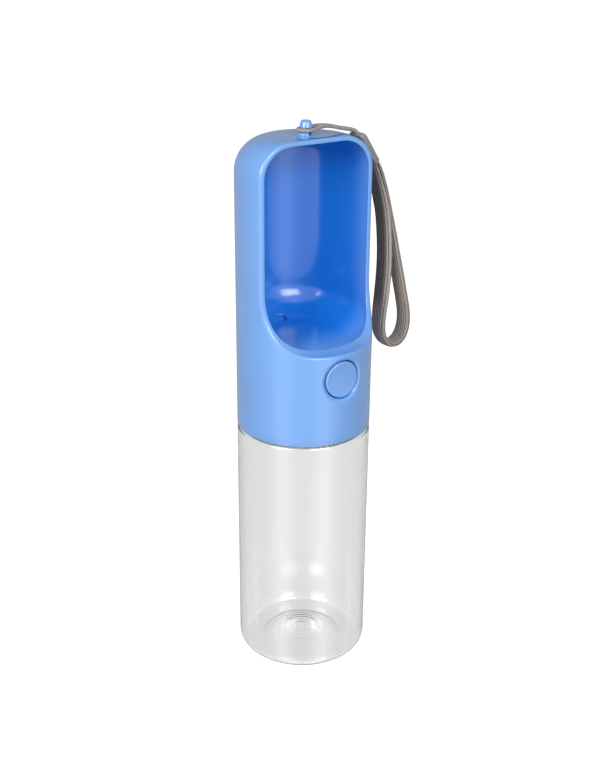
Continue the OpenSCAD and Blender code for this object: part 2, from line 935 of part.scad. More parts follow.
module wrist_strap() {
    last = len(strap_route) - 1;
    bevel = 1;
    color(taupe)
        skin([for (i = [0:last])
            let (t = heading(strap_route, i),
                 out = [-t[1], 0, t[0]],
                 held = min(i, last - i) < strap_end_points,
                 thick = held ? strap_end_t : strap_t,
                 c = [strap_route[i][0], 0, strap_route[i][1]],
                 w = (held ? strap_end_w : strap_w) / 2,
                 h = thick / 2)
            [for (p = [[-w, -h / 2], [-w, h / 2], [bevel - w, h], [w - bevel, h],
                       [w, h / 2], [w, -h / 2], [w - bevel, -h], [bevel - w, -h]])
                c + [0, p[0], 0] + p[1] * out]]);
}

// Crimped housing: the webbing goes into its foot and the cord into its nose
module strap_ferrule() {
    color(ferrule_grey)
        translate([ferrule_foot[0], 0, ferrule_foot[1]])
            rotate([0, -ferrule_angle, 0])
                difference() {
                    rotate([90, 0, 0])
                        linear_extrude(height = ferrule_w, center = true)
                            polygon([[-ferrule_t / 2, 0], [ferrule_t / 2, 0],
                                     [ferrule_t / 2, ferrule_l - 4],
                                     [ferrule_nose_t - ferrule_t / 2, ferrule_l],
                                     [-ferrule_t / 2, ferrule_l]]);
                    translate([-pocket_t / 2, -pocket_w / 2, -e])
                        cube([pocket_t, pocket_w, pocket_l]);
                }
}

bottle();
neck_gasket();
drinking_head();
thread_collar();
collar_screws();
chamber_seal();
valve_cover();
cover_screws();
stem_o_ring();
riser_tube();
riser_seal();
valve_stem();
valve_plug();
stem_cam();
valve_spring();
slide_bracket();
bracket_screws();
button();
button_slider();
button_spring();
strap_post();
strap_cord();
strap_ferrule();
wrist_strap();
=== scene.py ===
"""Dressed model of a dog travel water bottle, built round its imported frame."""

import functools
import math
from bisect import bisect_right

import bmesh
import bpy
from bpy.props import FloatProperty, FloatVectorProperty, IntProperty, PointerProperty
from mathutils import Matrix, Vector


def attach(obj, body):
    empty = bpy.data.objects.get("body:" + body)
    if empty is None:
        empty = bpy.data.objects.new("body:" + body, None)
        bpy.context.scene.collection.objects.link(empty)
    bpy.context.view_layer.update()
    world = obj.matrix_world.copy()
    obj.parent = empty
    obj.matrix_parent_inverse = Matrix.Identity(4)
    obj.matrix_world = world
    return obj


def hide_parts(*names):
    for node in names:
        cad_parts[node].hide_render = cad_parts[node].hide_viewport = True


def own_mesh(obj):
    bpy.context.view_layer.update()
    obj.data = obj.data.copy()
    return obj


bl_info = {
    "name": "Dog Travel Water Bottle",
    "version": (1, 0, 0),
    "blender": (4, 5, 0),
    "location": "View3D > Sidebar > Water Bottle",
    "description": "Builds the drinking head, the clear bottle, the button and the wrist strap",
    "category": "Add Mesh",
}

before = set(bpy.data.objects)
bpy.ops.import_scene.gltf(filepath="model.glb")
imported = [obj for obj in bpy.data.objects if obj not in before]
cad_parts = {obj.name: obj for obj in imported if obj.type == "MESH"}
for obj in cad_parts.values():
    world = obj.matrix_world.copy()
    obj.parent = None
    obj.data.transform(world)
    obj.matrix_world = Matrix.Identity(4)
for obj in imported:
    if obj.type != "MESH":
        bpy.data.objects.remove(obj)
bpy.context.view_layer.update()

# Every length below is in millimetres, and becomes metres in add_piece().
MM = 0.001
QUARTER = math.pi / 2

# Outside of the drinking head
BODY_R = 35.0
HEAD_Z = 134.3
CROWN_Z = 284.0
CROWN_R = 17.0
CROWN_FOOT = CROWN_Z - CROWN_R
CROWN_FLAT_R = BODY_R - CROWN_R
CROWN_DOME = 0.3

# Window: an upright plane that sweeps forward into a level sill
WINDOW_Y = -10.8
SILL_Z = 182.0
SWEEP_Z = 212.0
SWEEP_Y = -34.0
SWEEP_W = WINDOW_Y - SWEEP_Y
SWEEP_H = SWEEP_Z - SILL_Z
SWEEP_STEPS = 400

# Cavity of the trough; its outlet is behind the axis
INNER_R = 32.7
TROUGH_LIMIT_R = 33.6
CEILING_Z = 281.7
CORNER_R = 24.0
CORNER = (8.56, -1.53)
LIP_R = 56.0
LIP_Y = 29.3
FLOOR_Z = 183.3
FLOOR_TILT = math.radians(5)
BOWL_R = 18.0
BOWL_FLAT = 16.2
BOWL_FRONT = 9.0
BOWL_SOFT = 2.2
OUTLET_Y = 20.7
OUTLET_R = 2.45
OUTLET_SEAT_Z = 180.0
OUTLET_ROUND = 0.7
WALL_EDGE_ROUND = 0.5

# Steps of the head's grids
FRONT = 42
UPRIGHT = 26
CROWN = 14
ACROSS = 10
BACK = 84
RISE = 22
PATCH = 12
PATCH_Z = 150.0
# Skirt over the bottle's shoulder: (radius, height above the head's foot)
SKIRT = ((INNER_R - 0.2, 0), (34.5, 0), (34.85, 0.15), (BODY_R, 0.5), (BODY_R, 5),
         (BODY_R, 10), (BODY_R, PATCH_Z - HEAD_Z))
# Shares of the way to the middle at which a flat top has its rings
DISC_RINGS = (0.12, 0.3, 0.5, 0.7, 0.86, 0.97)

# Button: (radius, depth) of the recess round it, below the barrel, and of its rim
BUTTON_Z = 168.6
BUTTON_R = 9.5
BUTTON_HOLE_R = 10.0
BUTTON_STEM_R = 4.05
BUTTON_BACK_Y = -29.5
BUTTON_STEM_Y = BUTTON_BACK_Y - 3
BUTTON_LEVEL = 0.2
BUTTON_STEPS = 128
GUIDE_END_Y = -25.5
GAP_SHADE = 0.6
RECESS = ((10.0, 1.3), (10.05, 1.05), (10.3, 0.86), (10.75, 0.58), (11.25, 0.24),
          (11.65, 0.05), (11.75, 0.0))
BUTTON_RIM = ((BUTTON_R, 1.0), (9.47, 0.72), (9.38, 0.48), (9.22, 0.3), (9.0, 0.2),
              (8.75, 0.2), (8.5, 0.26), (8.2, 0.37))
BUTTON_DISH = (7.6, 6.8, 6, 5, 4, 3, 2, 1, 0)
BUTTON_DISH_R = 8.2
BUTTON_DISH_EDGE = 0.4
BUTTON_DISH_DEEP = 0.75

# Bottle: points (radius, height) and arcs (centre's radius and height, radius, angles, steps)
BOTTLE_STEPS = 144
DOME_R = 50.9
DOME_H = 5.0
DOME_EDGE = 22
BASE_WALL = 1.8
# rings moulded in the base: radius, width, share of the height
BASE_RINGS = ((4.6, 0.8, 0.45), (10.5, 0.8, 0.6), (17.5, 1.2, 0.4))
BOTTLE_WALL = (
    (29, 6, 6, -90, 0, 14), (BODY_R, 30), (BODY_R, 60), (BODY_R, 90), (BODY_R, 120),
    (32.5, 131.5, 2.5, 0, 90, 8), (26.0, 134.0), (25.4, 135.4, 1.4, 270, 180, 5),
    (24.0, 148.6), (23.2, 148.6, 0.8, 0, 90, 4), (22.6, 148.8, 0.6, 90, 180, 4),
    (22.0, 134.2), (24.0, 134.2, 2.0, 180, 270, 5), (32.5, 131.5, 0.7, 90, 0, 5),
    (33.2, 120), (33.2, 90), (33.2, 60), (33.2, 30), (29, 6, 4.2, 0, -90, 12))

# Thread on the bottle's neck
THREAD_R = 24.0
THREAD_H = 1.2
THREAD_Z = 138.0
THREAD_PITCH = 5.0
THREAD_TURNS = 1.75
THREAD_STEPS = 72
THREAD_FADE = 8

# Springs: turns, of which one is closed at each end
SPRING_WIRE = 0.7
SPRING_TURNS = 5
SPRING_REST = SPRING_WIRE / 2 + 0.1

# Strap: the cord's lead to the post and the webbing's route in the XZ plane
CORD_LEAD = [(32.1, 1.1, 279.9), (30.2, 1.1, 282.8), (28.0, 1.1, 284.3), (25.0, 1.1, 285.0),
             (21.0, 1.1, 285.8), (17.0, 1.1, 286.8), (13.0, 1.1, 287.6), (10.0, 1.7, 287.9),
             (7.0, 2.4, 287.8), (4.0, 3.1, 287.4)]
CORD_TURN_R = 3.9
CORD_TURN_Z = 287.0
CORD_D = 1.9
STRAP_ROUTE = [(36.3, 273.1), (37.1, 271.8), (40.2, 267.1), (41.4, 264.2), (42.9, 259.6),
               (44.6, 254.0), (46.5, 247.0), (48.4, 239.4), (49.7, 230.0), (50.5, 219.0),
               (50.4, 207.0), (49.6, 196.0), (48.8, 187.0), (48.7, 179.0), (49.8, 172.8),
               (52.2, 168.8), (56.0, 166.5), (60.0, 166.7), (63.4, 169.3), (65.5, 174.2),
               (66.0, 180.0), (65.0, 187.0), (62.7, 196.5), (60.3, 206.0), (57.1, 218.0),
               (54.0, 230.0), (51.1, 240.5), (48.9, 249.0), (47.0, 255.2), (45.1, 260.6),
               (43.0, 265.1), (41.2, 267.8), (38.1, 272.5), (35.6, 276.2)]
WEB_COLUMNS = 48
WEB_TURN = math.radians(10)
WEB_ASIDE = 0.8
WEB_EDGE = 2.8
# width and thickness in the ferrule, below it, and in the open loop
WEB_CLAMPED = (8.2, 1.1)
WEB_CLOSED = (10.2, 2.1)
WEB_OPEN_THICK = 3.8
# Ferrule: (distance from its foot, thickness, width) of its outside and of its mouth
FERRULE_FOOT = (40.65, 267.58)
FERRULE_TURN = math.radians(33.4)
FERRULE_THICK = 3.8
FERRULE_TAPER = 9
FERRULE_SQUARE = 0.32
FERRULE_STEPS = 48
FERRULE = ((0.0, 3.3, 10.2), (0.15, 3.6, 10.5), (0.5, 3.8, 10.7), (8.0, 3.8, 10.7),
           (13.6, 3.8, 10.6), (15.4, 3.8, 10.5), (16.6, 3.6, 10.3), (17.3, 3.2, 9.9),
           (17.7, 2.8, 9.4), (17.9, 2.3, 8.8), (18.0, 1.6, 8.0))
FERRULE_MOUTH = ((10.0, 2.5, 8.8), (0.4, 2.5, 8.8), (0.0, 2.7, 8.8))

# Stage, in metres and degrees
CAMERA_PLACE = (-0.32454, -0.46551, 0.38626)
CAMERA_TURN = (1.17810, -0.00690, -0.60263)
CAMERA_LENS = 53.92
LOOK_AT = (0, 0, 0.16)
FLOOR_HALF = 6
FLOOR_DROP = 0.0002
FLOOR_GLOW = 0.9
FLOOR_THROUGH = 0.75
# what shiny walls mirror: azimuth, sharpness and strength of soft glows in the sky
MIRRORED = ((-35, 1.6, 0.4), (-71, 22, 1.2), (3, 18, 1.3), (145, 1.2, -0.6))
# name, azimuth, elevation, size and power of the lamps, one metre from the part
LAMPS = (("softbox_left", -72, 28, (0.45, 0.4), 7.2),
         ("softbox_right", -4, 30, (0.5, 0.4), 5.8))


# ------------------------------------------------------------ settings

def colour_setting(name, description, default):
    return FloatVectorProperty(name=name, description=description, subtype="COLOR", size=3,
                               min=0, max=1, default=default)


def length_setting(name, description, default, low, high):
    return FloatProperty(name=name, description=description, default=default, min=low,
                         max=high, unit="LENGTH")


class HeadSettings(bpy.types.PropertyGroup):
    lip_round: length_setting(
        "Lip rounding", "Rounding of the window's outer edge", 0.0013, 0.0005, 0.002)
    plastic_blue: colour_setting(
        "Head blue", "Colour of the head, the button and the post", (0.148, 0.34, 0.73))
    # painted shade: a deeper blue for the shaded inside of the trough and the gap round the
    # button
    trough_shade_blue: colour_setting(
        "Trough blue", "Deeper blue of the glossy inside of the trough", (0.01, 0.19, 0.66))


class BottleSettings(bpy.types.PropertyGroup):
    tint: colour_setting("Clear tint", "Tint of the clear plastic", (0.93, 0.93, 0.925))
    ring_height: length_setting(
        "Ring height", "Height of the moulded rings in the base", 0.0003, 0, 0.001)


class StrapSettings(bpy.types.PropertyGroup):
    ribs: IntProperty(
        name="Ribs", description="Ribs across the webbing", default=7, min=3, max=12)
    rib_height: length_setting(
        "Rib height", "Height of a rib on the webbing", 0.0003, 0, 0.0005)
    yarn: colour_setting("Yarn", "Colour of the webbing and the cord", (0.48, 0.43, 0.385))
    ferrule_grey: colour_setting(
        "Ferrule grey", "Colour of the ferrule", (0.205, 0.212, 0.218))


class StageSettings(bpy.types.PropertyGroup):
    lamp_level: FloatProperty(
        name="Lamp level", description="Strength of all the lamps together",
        default=1.0, min=0, max=3)
    sky_level: FloatProperty(
        name="Sky level", description="Strength of the light from all round",
        default=0.24, min=0, max=2)


class BottleModelSettings(bpy.types.PropertyGroup):
    head: PointerProperty(type=HeadSettings)
    bottle: PointerProperty(type=BottleSettings)
    strap: PointerProperty(type=StrapSettings)
    stage: PointerProperty(type=StageSettings)


def settings():
    return bpy.context.scene.water_bottle


# ------------------------------------------------------------ lines and steps

def lerp(a, b, t):
    return a + (b - a) * t


def spread(a, b, steps):
    """Numbers from a to b in equal steps, both ends included."""
    return [lerp(a, b, i / steps) for i in range(steps + 1)]


def soft_step(value, low, high):
    """0 below low, 1 above high, and a smooth rise between."""
    t = min(max((value - low) / (high - low), 0), 1)
    return t * t * (3 - 2 * t)


def arc(r, z, radius, start, end, steps):
    return [(r + radius * math.cos(math.radians(a)), z + radius * math.sin(math.radians(a)))
            for a in spread(start, end, steps)]


def rounded(start, corner, end, steps):
    """Points of a rounded corner between two points on its sides."""
    return [start * (1 - t) ** 2 + corner * (2 * t * (1 - t)) + end * t * t
            for t in spread(0, 1, steps)]


def reaches(points):
    """Length along the line at each of its points."""
    found = [0.0]
    for a, b in zip(points, points[1:]):
        found.append(found[-1] + (b - a).length)
    return found


def heading(points, i):
    """Direction of the line at one of its points."""
    return (points[min(i + 1, len(points) - 1)] - points[max(i - 1, 0)]).normalized()


def evenly(points, count):
    """The line through the points, cut into equal lengths."""
    reach = reaches(points)
    found, i = [], 0
    for want in spread(0, reach[-1], count):
        while i < len(points) - 2 and reach[i + 1] < want:
            i += 1
        t = (want - reach[i]) / max(reach[i + 1] - reach[i], 1e-9)
        found.append(lerp(points[i], points[i + 1], min(t, 1)))
    return found


def smooth_route(points, per_span):
    """A smooth curve through the given route points."""
    ends = [points[0] * 2 - points[1]] + list(points) + [points[-1] * 2 - points[-2]]
    curve = []
    for i in range(len(points) - 1):
        p0, p1, p2, p3 = ends[i:i + 4]
        for k in range(per_span):
            t = k / per_span
            curve.append(0.5 * ((2 * p1) + (p2 - p0) * t
                                + (2 * p0 - 5 * p1 + 4 * p2 - p3) * t * t
                                + (3 * p1 - p0 - 3 * p2 + p3) * t ** 3))
    curve.append(points[-1].copy())
    return curve


# ------------------------------------------------------------ mesh helpers

def lay(bm, rows, uvs=None):
    """Lay a grid of faces through rows with equal numbers of points."""
    across, along = len(rows[0]), len(rows)
    grid = bmesh.ops.create_grid(bm, x_segments=across - 1, y_segments=along - 1, size=1)
    place = {}
    for i, vert in enumerate(grid["verts"]):
        vert.co = rows[i // across][i % across]
        place[vert] = (i // across, i % across)
    if uvs:
        layer = bm.loops.layers.uv.verify()
        for face in {face for vert in grid["verts"] for face in vert.link_faces}:
            for loop in face.loops:
                row, column = place[loop.vert]
                loop[layer].uv = uvs[row][column]
    return grid["verts"]


def close_up(bm, weld=0.001):
    """Weld the points, close what is open and turn the faces outwards."""
    bmesh.ops.remove_doubles(bm, verts=bm.verts, dist=weld)
    bmesh.ops.holes_fill(bm, edges=[e for e in bm.edges if e.is_boundary], sides=0)
    bmesh.ops.recalc_face_normals(bm, faces=bm.faces)


def take_over(bm, other):
    """Move all of another bmesh into this one."""
    spare = bpy.data.meshes.new("spare")
    other.to_mesh(spare)
    other.free()
    bm.from_mesh(spare)
    bpy.data.meshes.remove(spare)


def frame_mesh(name):
    """Copy of a node of the frame, in millimetres."""
    bm = bmesh.new()
    bm.from_mesh(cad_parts[name].data)
    bmesh.ops.scale(bm, verts=bm.verts, vec=(1 / MM, 1 / MM, 1 / MM))
    bmesh.ops.remove_doubles(bm, verts=bm.verts, dist=0.0005)
    return bm


def add_piece(bm, name, body, material, replaces=(), weld=0.002, sharp=None):
    """Turn a finished bmesh in millimetres into a piece that rides on a body."""
    if weld:
        bmesh.ops.remove_doubles(bm, verts=bm.verts, dist=weld)
    bmesh.ops.scale(bm, verts=bm.verts, vec=(MM, MM, MM))
    for face in bm.faces:
        face.smooth = True
    if sharp is not None:
        for edge in bm.edges:
            edge.smooth = not (len(edge.link_faces) == 2
                               and edge.calc_face_angle(0) > math.radians(sharp))
    mesh = bpy.data.meshes.new(name)
    bm.to_mesh(mesh)
    bm.free()
    mesh.materials.append(material)
    piece = bpy.data.objects.new(name, mesh)
    bpy.context.scene.collection.objects.link(piece)
    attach(piece, body)
    if replaces:
        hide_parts(*replaces)
    return piece


# ------------------------------------------------------------ shader helpers

def put(tree, value, socket):
    """Give a socket a link, a number, a vector or a colour."""
    if isinstance(value, bpy.types.NodeSocket):
        tree.links.new(value, socket)
    elif isinstance(value, (int, float)):
        socket.default_value = value
    else:
        socket.default_value = (*value[:3], 1)[:len(socket.default_value)]


def node(tree, kind, inputs=(), **values):
    made = tree.nodes.new("ShaderNode" + kind)
    for key, value in values.items():
        setattr(made, key, value)
    for label, value in dict(inputs).items():
        put(tree, value, made.inputs[label])
    return made


def noise(tree, place, scale, detail=3, roughness=0.5):
    return node(tree, "TexNoise", {"Vector": place, "Scale": scale, "Detail": detail,
                                   "Roughness": roughness}).outputs["Fac"]


def mapped(tree, value, low, high, to_low, to_high):
    return node(tree, "MapRange", {"Value": value, "From Min": low, "From Max": high,
                                   "To Min": to_low, "To Max": to_high}).outputs["Result"]


def maths(tree, operation, *values):
    return node(tree, "Math", enumerate(values), operation=operation).outputs["Value"]


def mixed(tree, factor, a, b):
    return node(tree, "Mix", {0: factor, 6: a, 7: b}, data_type="RGBA").outputs[2]


def surface_group(name, inputs, wire):
    """Node group, made once, that gives the colour, roughness and height from wire()."""
    group = bpy.data.node_groups.get(name)
    if group:
        return group
    group = bpy.data.node_groups.new(name, "ShaderNodeTree")
    for label, value in inputs.items():
        kind = "NodeSocketFloat" if isinstance(value, float) else "NodeSocketColor"
        group.interface.new_socket(
            name=label, in_out="INPUT", socket_type=kind).default_value = value
    came, goes = group.nodes.new("NodeGroupInput"), group.nodes.new("NodeGroupOutput")
    labels = ("Colour", "Roughness", "Height")
    for label in labels:
        kind = "NodeSocketColor" if label == "Colour" else "NodeSocketFloat"
        group.interface.new_socket(name=label, in_out="OUTPUT", socket_type=kind)
    for label, value in zip(labels, wire(group, came.outputs)):
        put(group, value, goes.inputs[label])
    return group


def moulded(group, came):
    """Moulded plastic: faint flow clouds in the colour, handling smudges and fine grain."""
    place = node(group, "TexCoord").outputs["Object"]
    flow = mapped(group, noise(group, place, 28, 4), 0.35, 0.65, 0, 1)
    smudge = mapped(group, noise(group, place, 95, 6, 0.62), 0.42, 0.72, 0, 1)
    return (mixed(group, flow, came["Colour"], came["Flow Colour"]),
            maths(group, "MULTIPLY_ADD", smudge, came["Smudge"], came["Roughness"]),
            noise(group, place, came["Grain Scale"], 2))


def knitted(group, came):
    """Yarn on the piece's own UV map in millimetres: rows of stitches and slubs."""
    do = functools.partial(maths, group)
    place = node(group, "TexCoord").outputs["UV"]
    parts = node(group, "SeparateXYZ", {0: place}).outputs
    column = do("DIVIDE", parts["Y"], came["Stitch Width"])
    middle = do("ABSOLUTE", do("SUBTRACT", do("FRACT", column), 0.5))
    turned = do("MULTIPLY_ADD", parts["Y"], came["Slant"], parts["X"])
    row = do("MULTIPLY_ADD", do("ADD", middle, do("FLOOR", column)), 0.5,
             do("DIVIDE", turned, came["Stitch Length"]))
    bump_along = do("ABSOLUTE", do("SINE", do("MULTIPLY", row, math.pi)))
    bump_across = do("POWER", do("ABSOLUTE", do("SINE", do("MULTIPLY", column, math.pi))), 0.7)
    stitch = do("MULTIPLY", mapped(group, bump_along, 0, 1, 0.25, 1), bump_across)
    fluff = noise(group, place, 2.5, 5, 0.7)
    shade = mapped(group, do("MULTIPLY_ADD", fluff, 0.35, stitch), 0.2, 0.95, 0, 1)
    return (mixed(group, shade, came["Shade"], came["Yarn"]),
            mapped(group, fluff, 0.3, 0.7, 0.78, 0.95),
            do("MULTIPLY_ADD", fluff, 0.25, stitch))


def drawn(group, came):
    """Drawn steel: fine lines and small stains."""
    place = node(group, "TexCoord").outputs["Object"]
    stains = mapped(group, noise(group, place, 420, 4), 0.5, 0.75, 0, 0.6)
    lines = noise(group, place, came["Line Scale"], 2)
    return (mixed(group, stains, came["Colour"], came["Stain"]),
            mapped(group, lines, 0.3, 0.7, 0.24, 0.4), lines)


def moulded_group():
    return surface_group("Moulded Plastic", {
        "Colour": (0.5, 0.5, 0.5, 1), "Flow Colour": (0.5, 0.5, 0.5, 1), "Roughness": 0.2,
        "Smudge": 0.05, "Grain Scale": 900.0}, moulded)


def knit_group():
    return surface_group("Knitted Yarn", {
        "Yarn": (0.5, 0.5, 0.5, 1), "Shade": (0.2, 0.2, 0.2, 1), "Stitch Length": 1.1,
        "Stitch Width": 0.75, "Slant": 0.0}, knitted)


def steel_group():
    return surface_group("Drawn Steel", {
        "Colour": (0.6, 0.6, 0.6, 1), "Stain": (0.3, 0.3, 0.3, 1),
        "Line Scale": 2500.0}, drawn)


def dimmed(colour, share):
    return [c * share for c in colour]


def finish_material(name, group, values, height, distance, shader, mask=None, masked=None):
    """A Principled material whose colour, roughness and bump come from a group.
    Where the mesh attribute named by mask is 1, the values of masked hold instead."""
    if name in bpy.data.materials:
        return bpy.data.materials[name]
    material = bpy.data.materials.new(name)
    material.use_nodes = True
    tree = material.node_tree
    if mask:
        share = node(tree, "Attribute", attribute_name=mask).outputs["Fac"]
        values = {**values, **{label: mixed(tree, share, values[label], there)
                               for label, there in masked.items()}}
    surface = node(tree, "Group", node_tree=group)
    for label, value in values.items():
        put(tree, value, surface.inputs[label])
    bump = node(tree, "Bump", {"Strength": height, "Distance": distance,
                               "Height": surface.outputs["Height"]})
    for label, value in {"Base Color": surface.outputs["Colour"],
                         "Roughness": surface.outputs["Roughness"],
                         "Normal": bump.outputs["Normal"], **shader}.items():
        put(tree, value, tree.nodes["Principled BSDF"].inputs[label])
    return material


def plastic(name, colour, flow=0.94, rough=0.2, smudge=0.06, height=0.05, deep=None,
            **shader):
    """Moulded plastic, with another colour painted in as shade where the mesh attribute
    "trough" says so.
    """
    def paint(shade):
        return {"Colour": shade, "Flow Colour": dimmed(shade, flow)}

    return finish_material(
        name, moulded_group(), {**paint(colour), "Roughness": rough, "Smudge": smudge},
        height, 0.0002, shader, *(("trough", paint(deep)) if deep else ()))


def head_plastic():
    head = settings().head
    # inside the trough and in the gap round the button the blue darkens as painted shade
    return plastic("Blue Plastic", head.plastic_blue, flow=0.96, rough=0.2, smudge=0.05,
                   height=0.01, deep=head.trough_shade_blue,
                   **{"IOR": 1.5, "Coat Weight": 0.3, "Coat Roughness": 0.04})


def clear_plastic():
    return plastic("Clear Plastic", settings().bottle.tint, flow=0.985, rough=0.015,
                   smudge=0.03, height=0.01,
                   **{"IOR": 1.5, "Transmission Weight": 1.0, "Coat Weight": 1.0,
                      "Coat Roughness": 0.12})


def yarn_material(name, length, width, slant):
    """Yarn in stitches, darkened by painted shade where a mesh attribute asks for it."""
    yarn = settings().strap.yarn
    shade = dimmed(yarn, 0.16)
    return finish_material(
        name, knit_group(),
        {"Yarn": yarn, "Shade": shade, "Stitch Length": length, "Stitch Width": width,
         "Slant": slant},
        0.7, 0.0003,
        {"Sheen Weight": 0.15, "Sheen Roughness": 0.5, "Specular IOR Level": 0.2},
        "grime", {"Yarn": dimmed(yarn, 0.36), "Shade": dimmed(shade, 0.06)})


def steel(name="Drawn Steel"):
    return finish_material(
        name, steel_group(), {"Colour": (0.62, 0.62, 0.63), "Stain": (0.36, 0.35, 0.34)},
        0.08, 0.0001, {"Metallic": 1.0})


# ------------------------------------------------------------ head's lines

def sweep_point(turn):
    """Point (y, z) of the window's sweep, from the sill (90 degrees) to upright (0)."""
    return (SWEEP_Y + SWEEP_W * math.cos(turn), SWEEP_Z - SWEEP_H * math.sin(turn))


def sweep_table():
    """Length along the window's profile for each turn of the sweep."""
    table, reach, before = [], 0.0, sweep_point(QUARTER)
    for turn in spread(QUARTER, 0, SWEEP_STEPS):
        here = sweep_point(turn)
        reach += math.dist(here, before)
        table.append((reach, turn))
        before = here
    return table


SWEEP_TABLE = sweep_table()
SWEEP_LENGTH = SWEEP_TABLE[-1][0]


def profile_reach(y, z):
    """Length along the profile of a point on it: 0 where the sill starts to sweep."""
    if z >= SWEEP_Z:
        return SWEEP_LENGTH + z - SWEEP_Z
    if y <= SWEEP_Y:
        return y - SWEEP_Y
    turn = math.atan2((SWEEP_Z - z) / SWEEP_H, (y - SWEEP_Y) / SWEEP_W)
    i = min(int((1 - turn / QUARTER) * SWEEP_STEPS), SWEEP_STEPS - 1)
    (r0, t0), (r1, t1) = SWEEP_TABLE[i:i + 2]
    return lerp(r0, r1, (t0 - turn) / (t0 - t1))


def profile_point(x, reach):
    """Point on the window's cut surface at a length along its profile."""
    if reach >= SWEEP_LENGTH:
        return Vector((x, WINDOW_Y, SWEEP_Z + reach - SWEEP_LENGTH))
    if reach <= 0:
        return Vector((x, SWEEP_Y + reach, SILL_Z))
    i = bisect_right(SWEEP_TABLE, reach, key=lambda row: row[0])
    (r0, t0), (r1, t1) = SWEEP_TABLE[i - 1:i + 1]
    return Vector((x, *sweep_point(lerp(t0, t1, (reach - r0) / (r1 - r0)))))


def cut_normal(p):
    """Direction out of the plastic on the window's cut surface."""
    if p.z >= SWEEP_Z:
        return Vector((0, -1, 0))
    if p.y <= SWEEP_Y:
        return Vector((0, 0, 1))
    return Vector((0, (SWEEP_Y - p.y) / SWEEP_W ** 2,
                   (SWEEP_Z - p.z) / SWEEP_H ** 2)).normalized()


def onto_cylinder(p, radius):
    across = math.hypot(p.x, p.y)
    return Vector((p.x * radius / across, p.y * radius / across, p.z))


def onto_cut(p):
    return profile_point(p.x, profile_reach(p.y, p.z))


def front_wall_y(x):
    """The trough's wall seen from above, in front of the axis."""
    if abs(x) <= CORNER[0] + CORNER_R * (CORNER[0] / (LIP_R - CORNER_R)):
        return LIP_Y - math.sqrt(LIP_R ** 2 - x * x)
    return CORNER[1] - math.sqrt(max(CORNER_R ** 2 - (abs(x) - CORNER[0]) ** 2, 0))


def wall_radius(angle):
    """Radius of the trough's wall at an angle from +X, seen from above."""
    across, front = abs(math.cos(angle)), math.sin(angle)
    if math.atan2(front, across) > math.atan2(CORNER[1], CORNER[0]):
        return INNER_R
    along = across * CORNER[0] + front * CORNER[1]
    aside = CORNER[0] ** 2 + CORNER[1] ** 2 - along ** 2
    return along + math.sqrt(CORNER_R ** 2 - aside)


def can_row(turn, z, foot_r, y_open, columns, radius_at=None):
    """Row of points round the back of a rounded can, from the window's +X side.
    turn goes from 0 on the wall to 90 degrees at the end of the crown's rounding."""
    r = lerp(CROWN_FLAT_R, foot_r, math.cos(turn))
    start = -math.asin(min(-y_open / r, 1.0))
    points = []
    for angle in spread(start, math.pi - start, columns):
        here = r
        if radius_at:
            here = lerp(r, radius_at(angle) * r / foot_r, math.cos(turn))
        points.append(Vector((here * math.cos(angle), here * math.sin(angle), z)))
    points[0].y = points[-1].y = y_open
    return points


def upper_levels(top_z):
    """Turn and height of every row above the sweep, up the wall and over the crown."""
    return ([(0, z) for z in spread(SWEEP_Z, CROWN_FOOT, UPRIGHT)[1:]]
            + [(turn, CROWN_FOOT + (top_z - CROWN_FOOT) * math.sin(turn))
               for turn in spread(0, QUARTER, CROWN)[1:]])


def outer_edge():
    """Half of the sharp line where the window cuts the outside, front to top."""
    flat = [Vector((x, -math.sqrt(BODY_R ** 2 - x * x), SILL_Z))
            for x in spread(0, math.sqrt(BODY_R ** 2 - SWEEP_Y ** 2), 60)]
    sweep = [Vector((math.sqrt(BODY_R ** 2 - y * y), y, z))
             for y, z in map(sweep_point, spread(QUARTER, 0, 300)[1:])]
    return evenly(flat + sweep, FRONT)


def inner_edge():
    """Half of the sharp line where the window cuts the trough's wall."""
    points = []
    for x in spread(0, 40, 1200):
        y = front_wall_y(x)
        if y > WINDOW_Y or x > CORNER[0] + CORNER_R:
            break
        drop = math.sqrt(max(1 - ((y - SWEEP_Y) / SWEEP_W) ** 2, 0))
        points.append(profile_point(x, profile_reach(y, SWEEP_Z - SWEEP_H * drop)))
    end = CORNER[0] + math.sqrt(CORNER_R ** 2 - (WINDOW_Y - CORNER[1]) ** 2)
    points.append(Vector((end, WINDOW_Y, SWEEP_Z)))
    return evenly(points, FRONT)


def out_of_wall(inner, i):
    """Level direction out of the trough's wall at a point of the inner edge."""
    if i == 0:
        return Vector((0, 1, 0))
    if i == FRONT:
        return Vector((CORNER[0] - inner[i].x, CORNER[1] - inner[i].y, 0)).normalized()
    run = inner[i + 1] - inner[i - 1]
    return Vector((-run.y, run.x, 0)).normalized()


def retreat(normal, other):
    """Direction along one surface, away from its edge with another."""
    return (normal * normal.dot(other) - other).normalized()


def lip_section(k_outer, outer_sides, k_inner, inner_sides):
    """Points across the lip: rounded outer edge, lip, small inner edge."""
    (out_top, out_lip), (in_lip, in_wall) = outer_sides, inner_sides
    shares = spread(0, 1, 5)[1:-1]
    if out_lip.z >= SWEEP_Z:
        between = [lerp(out_lip, in_lip, t) for t in shares]
    else:
        start, end = (profile_reach(p.y, p.z) for p in (out_lip, in_lip))
        between = [profile_point(lerp(out_lip.x, in_lip.x, t), lerp(start, end, t))
                   for t in shares]
    return (rounded(out_top, k_outer, out_lip, 6) + between
            + rounded(in_lip, k_inner, in_wall, 4))


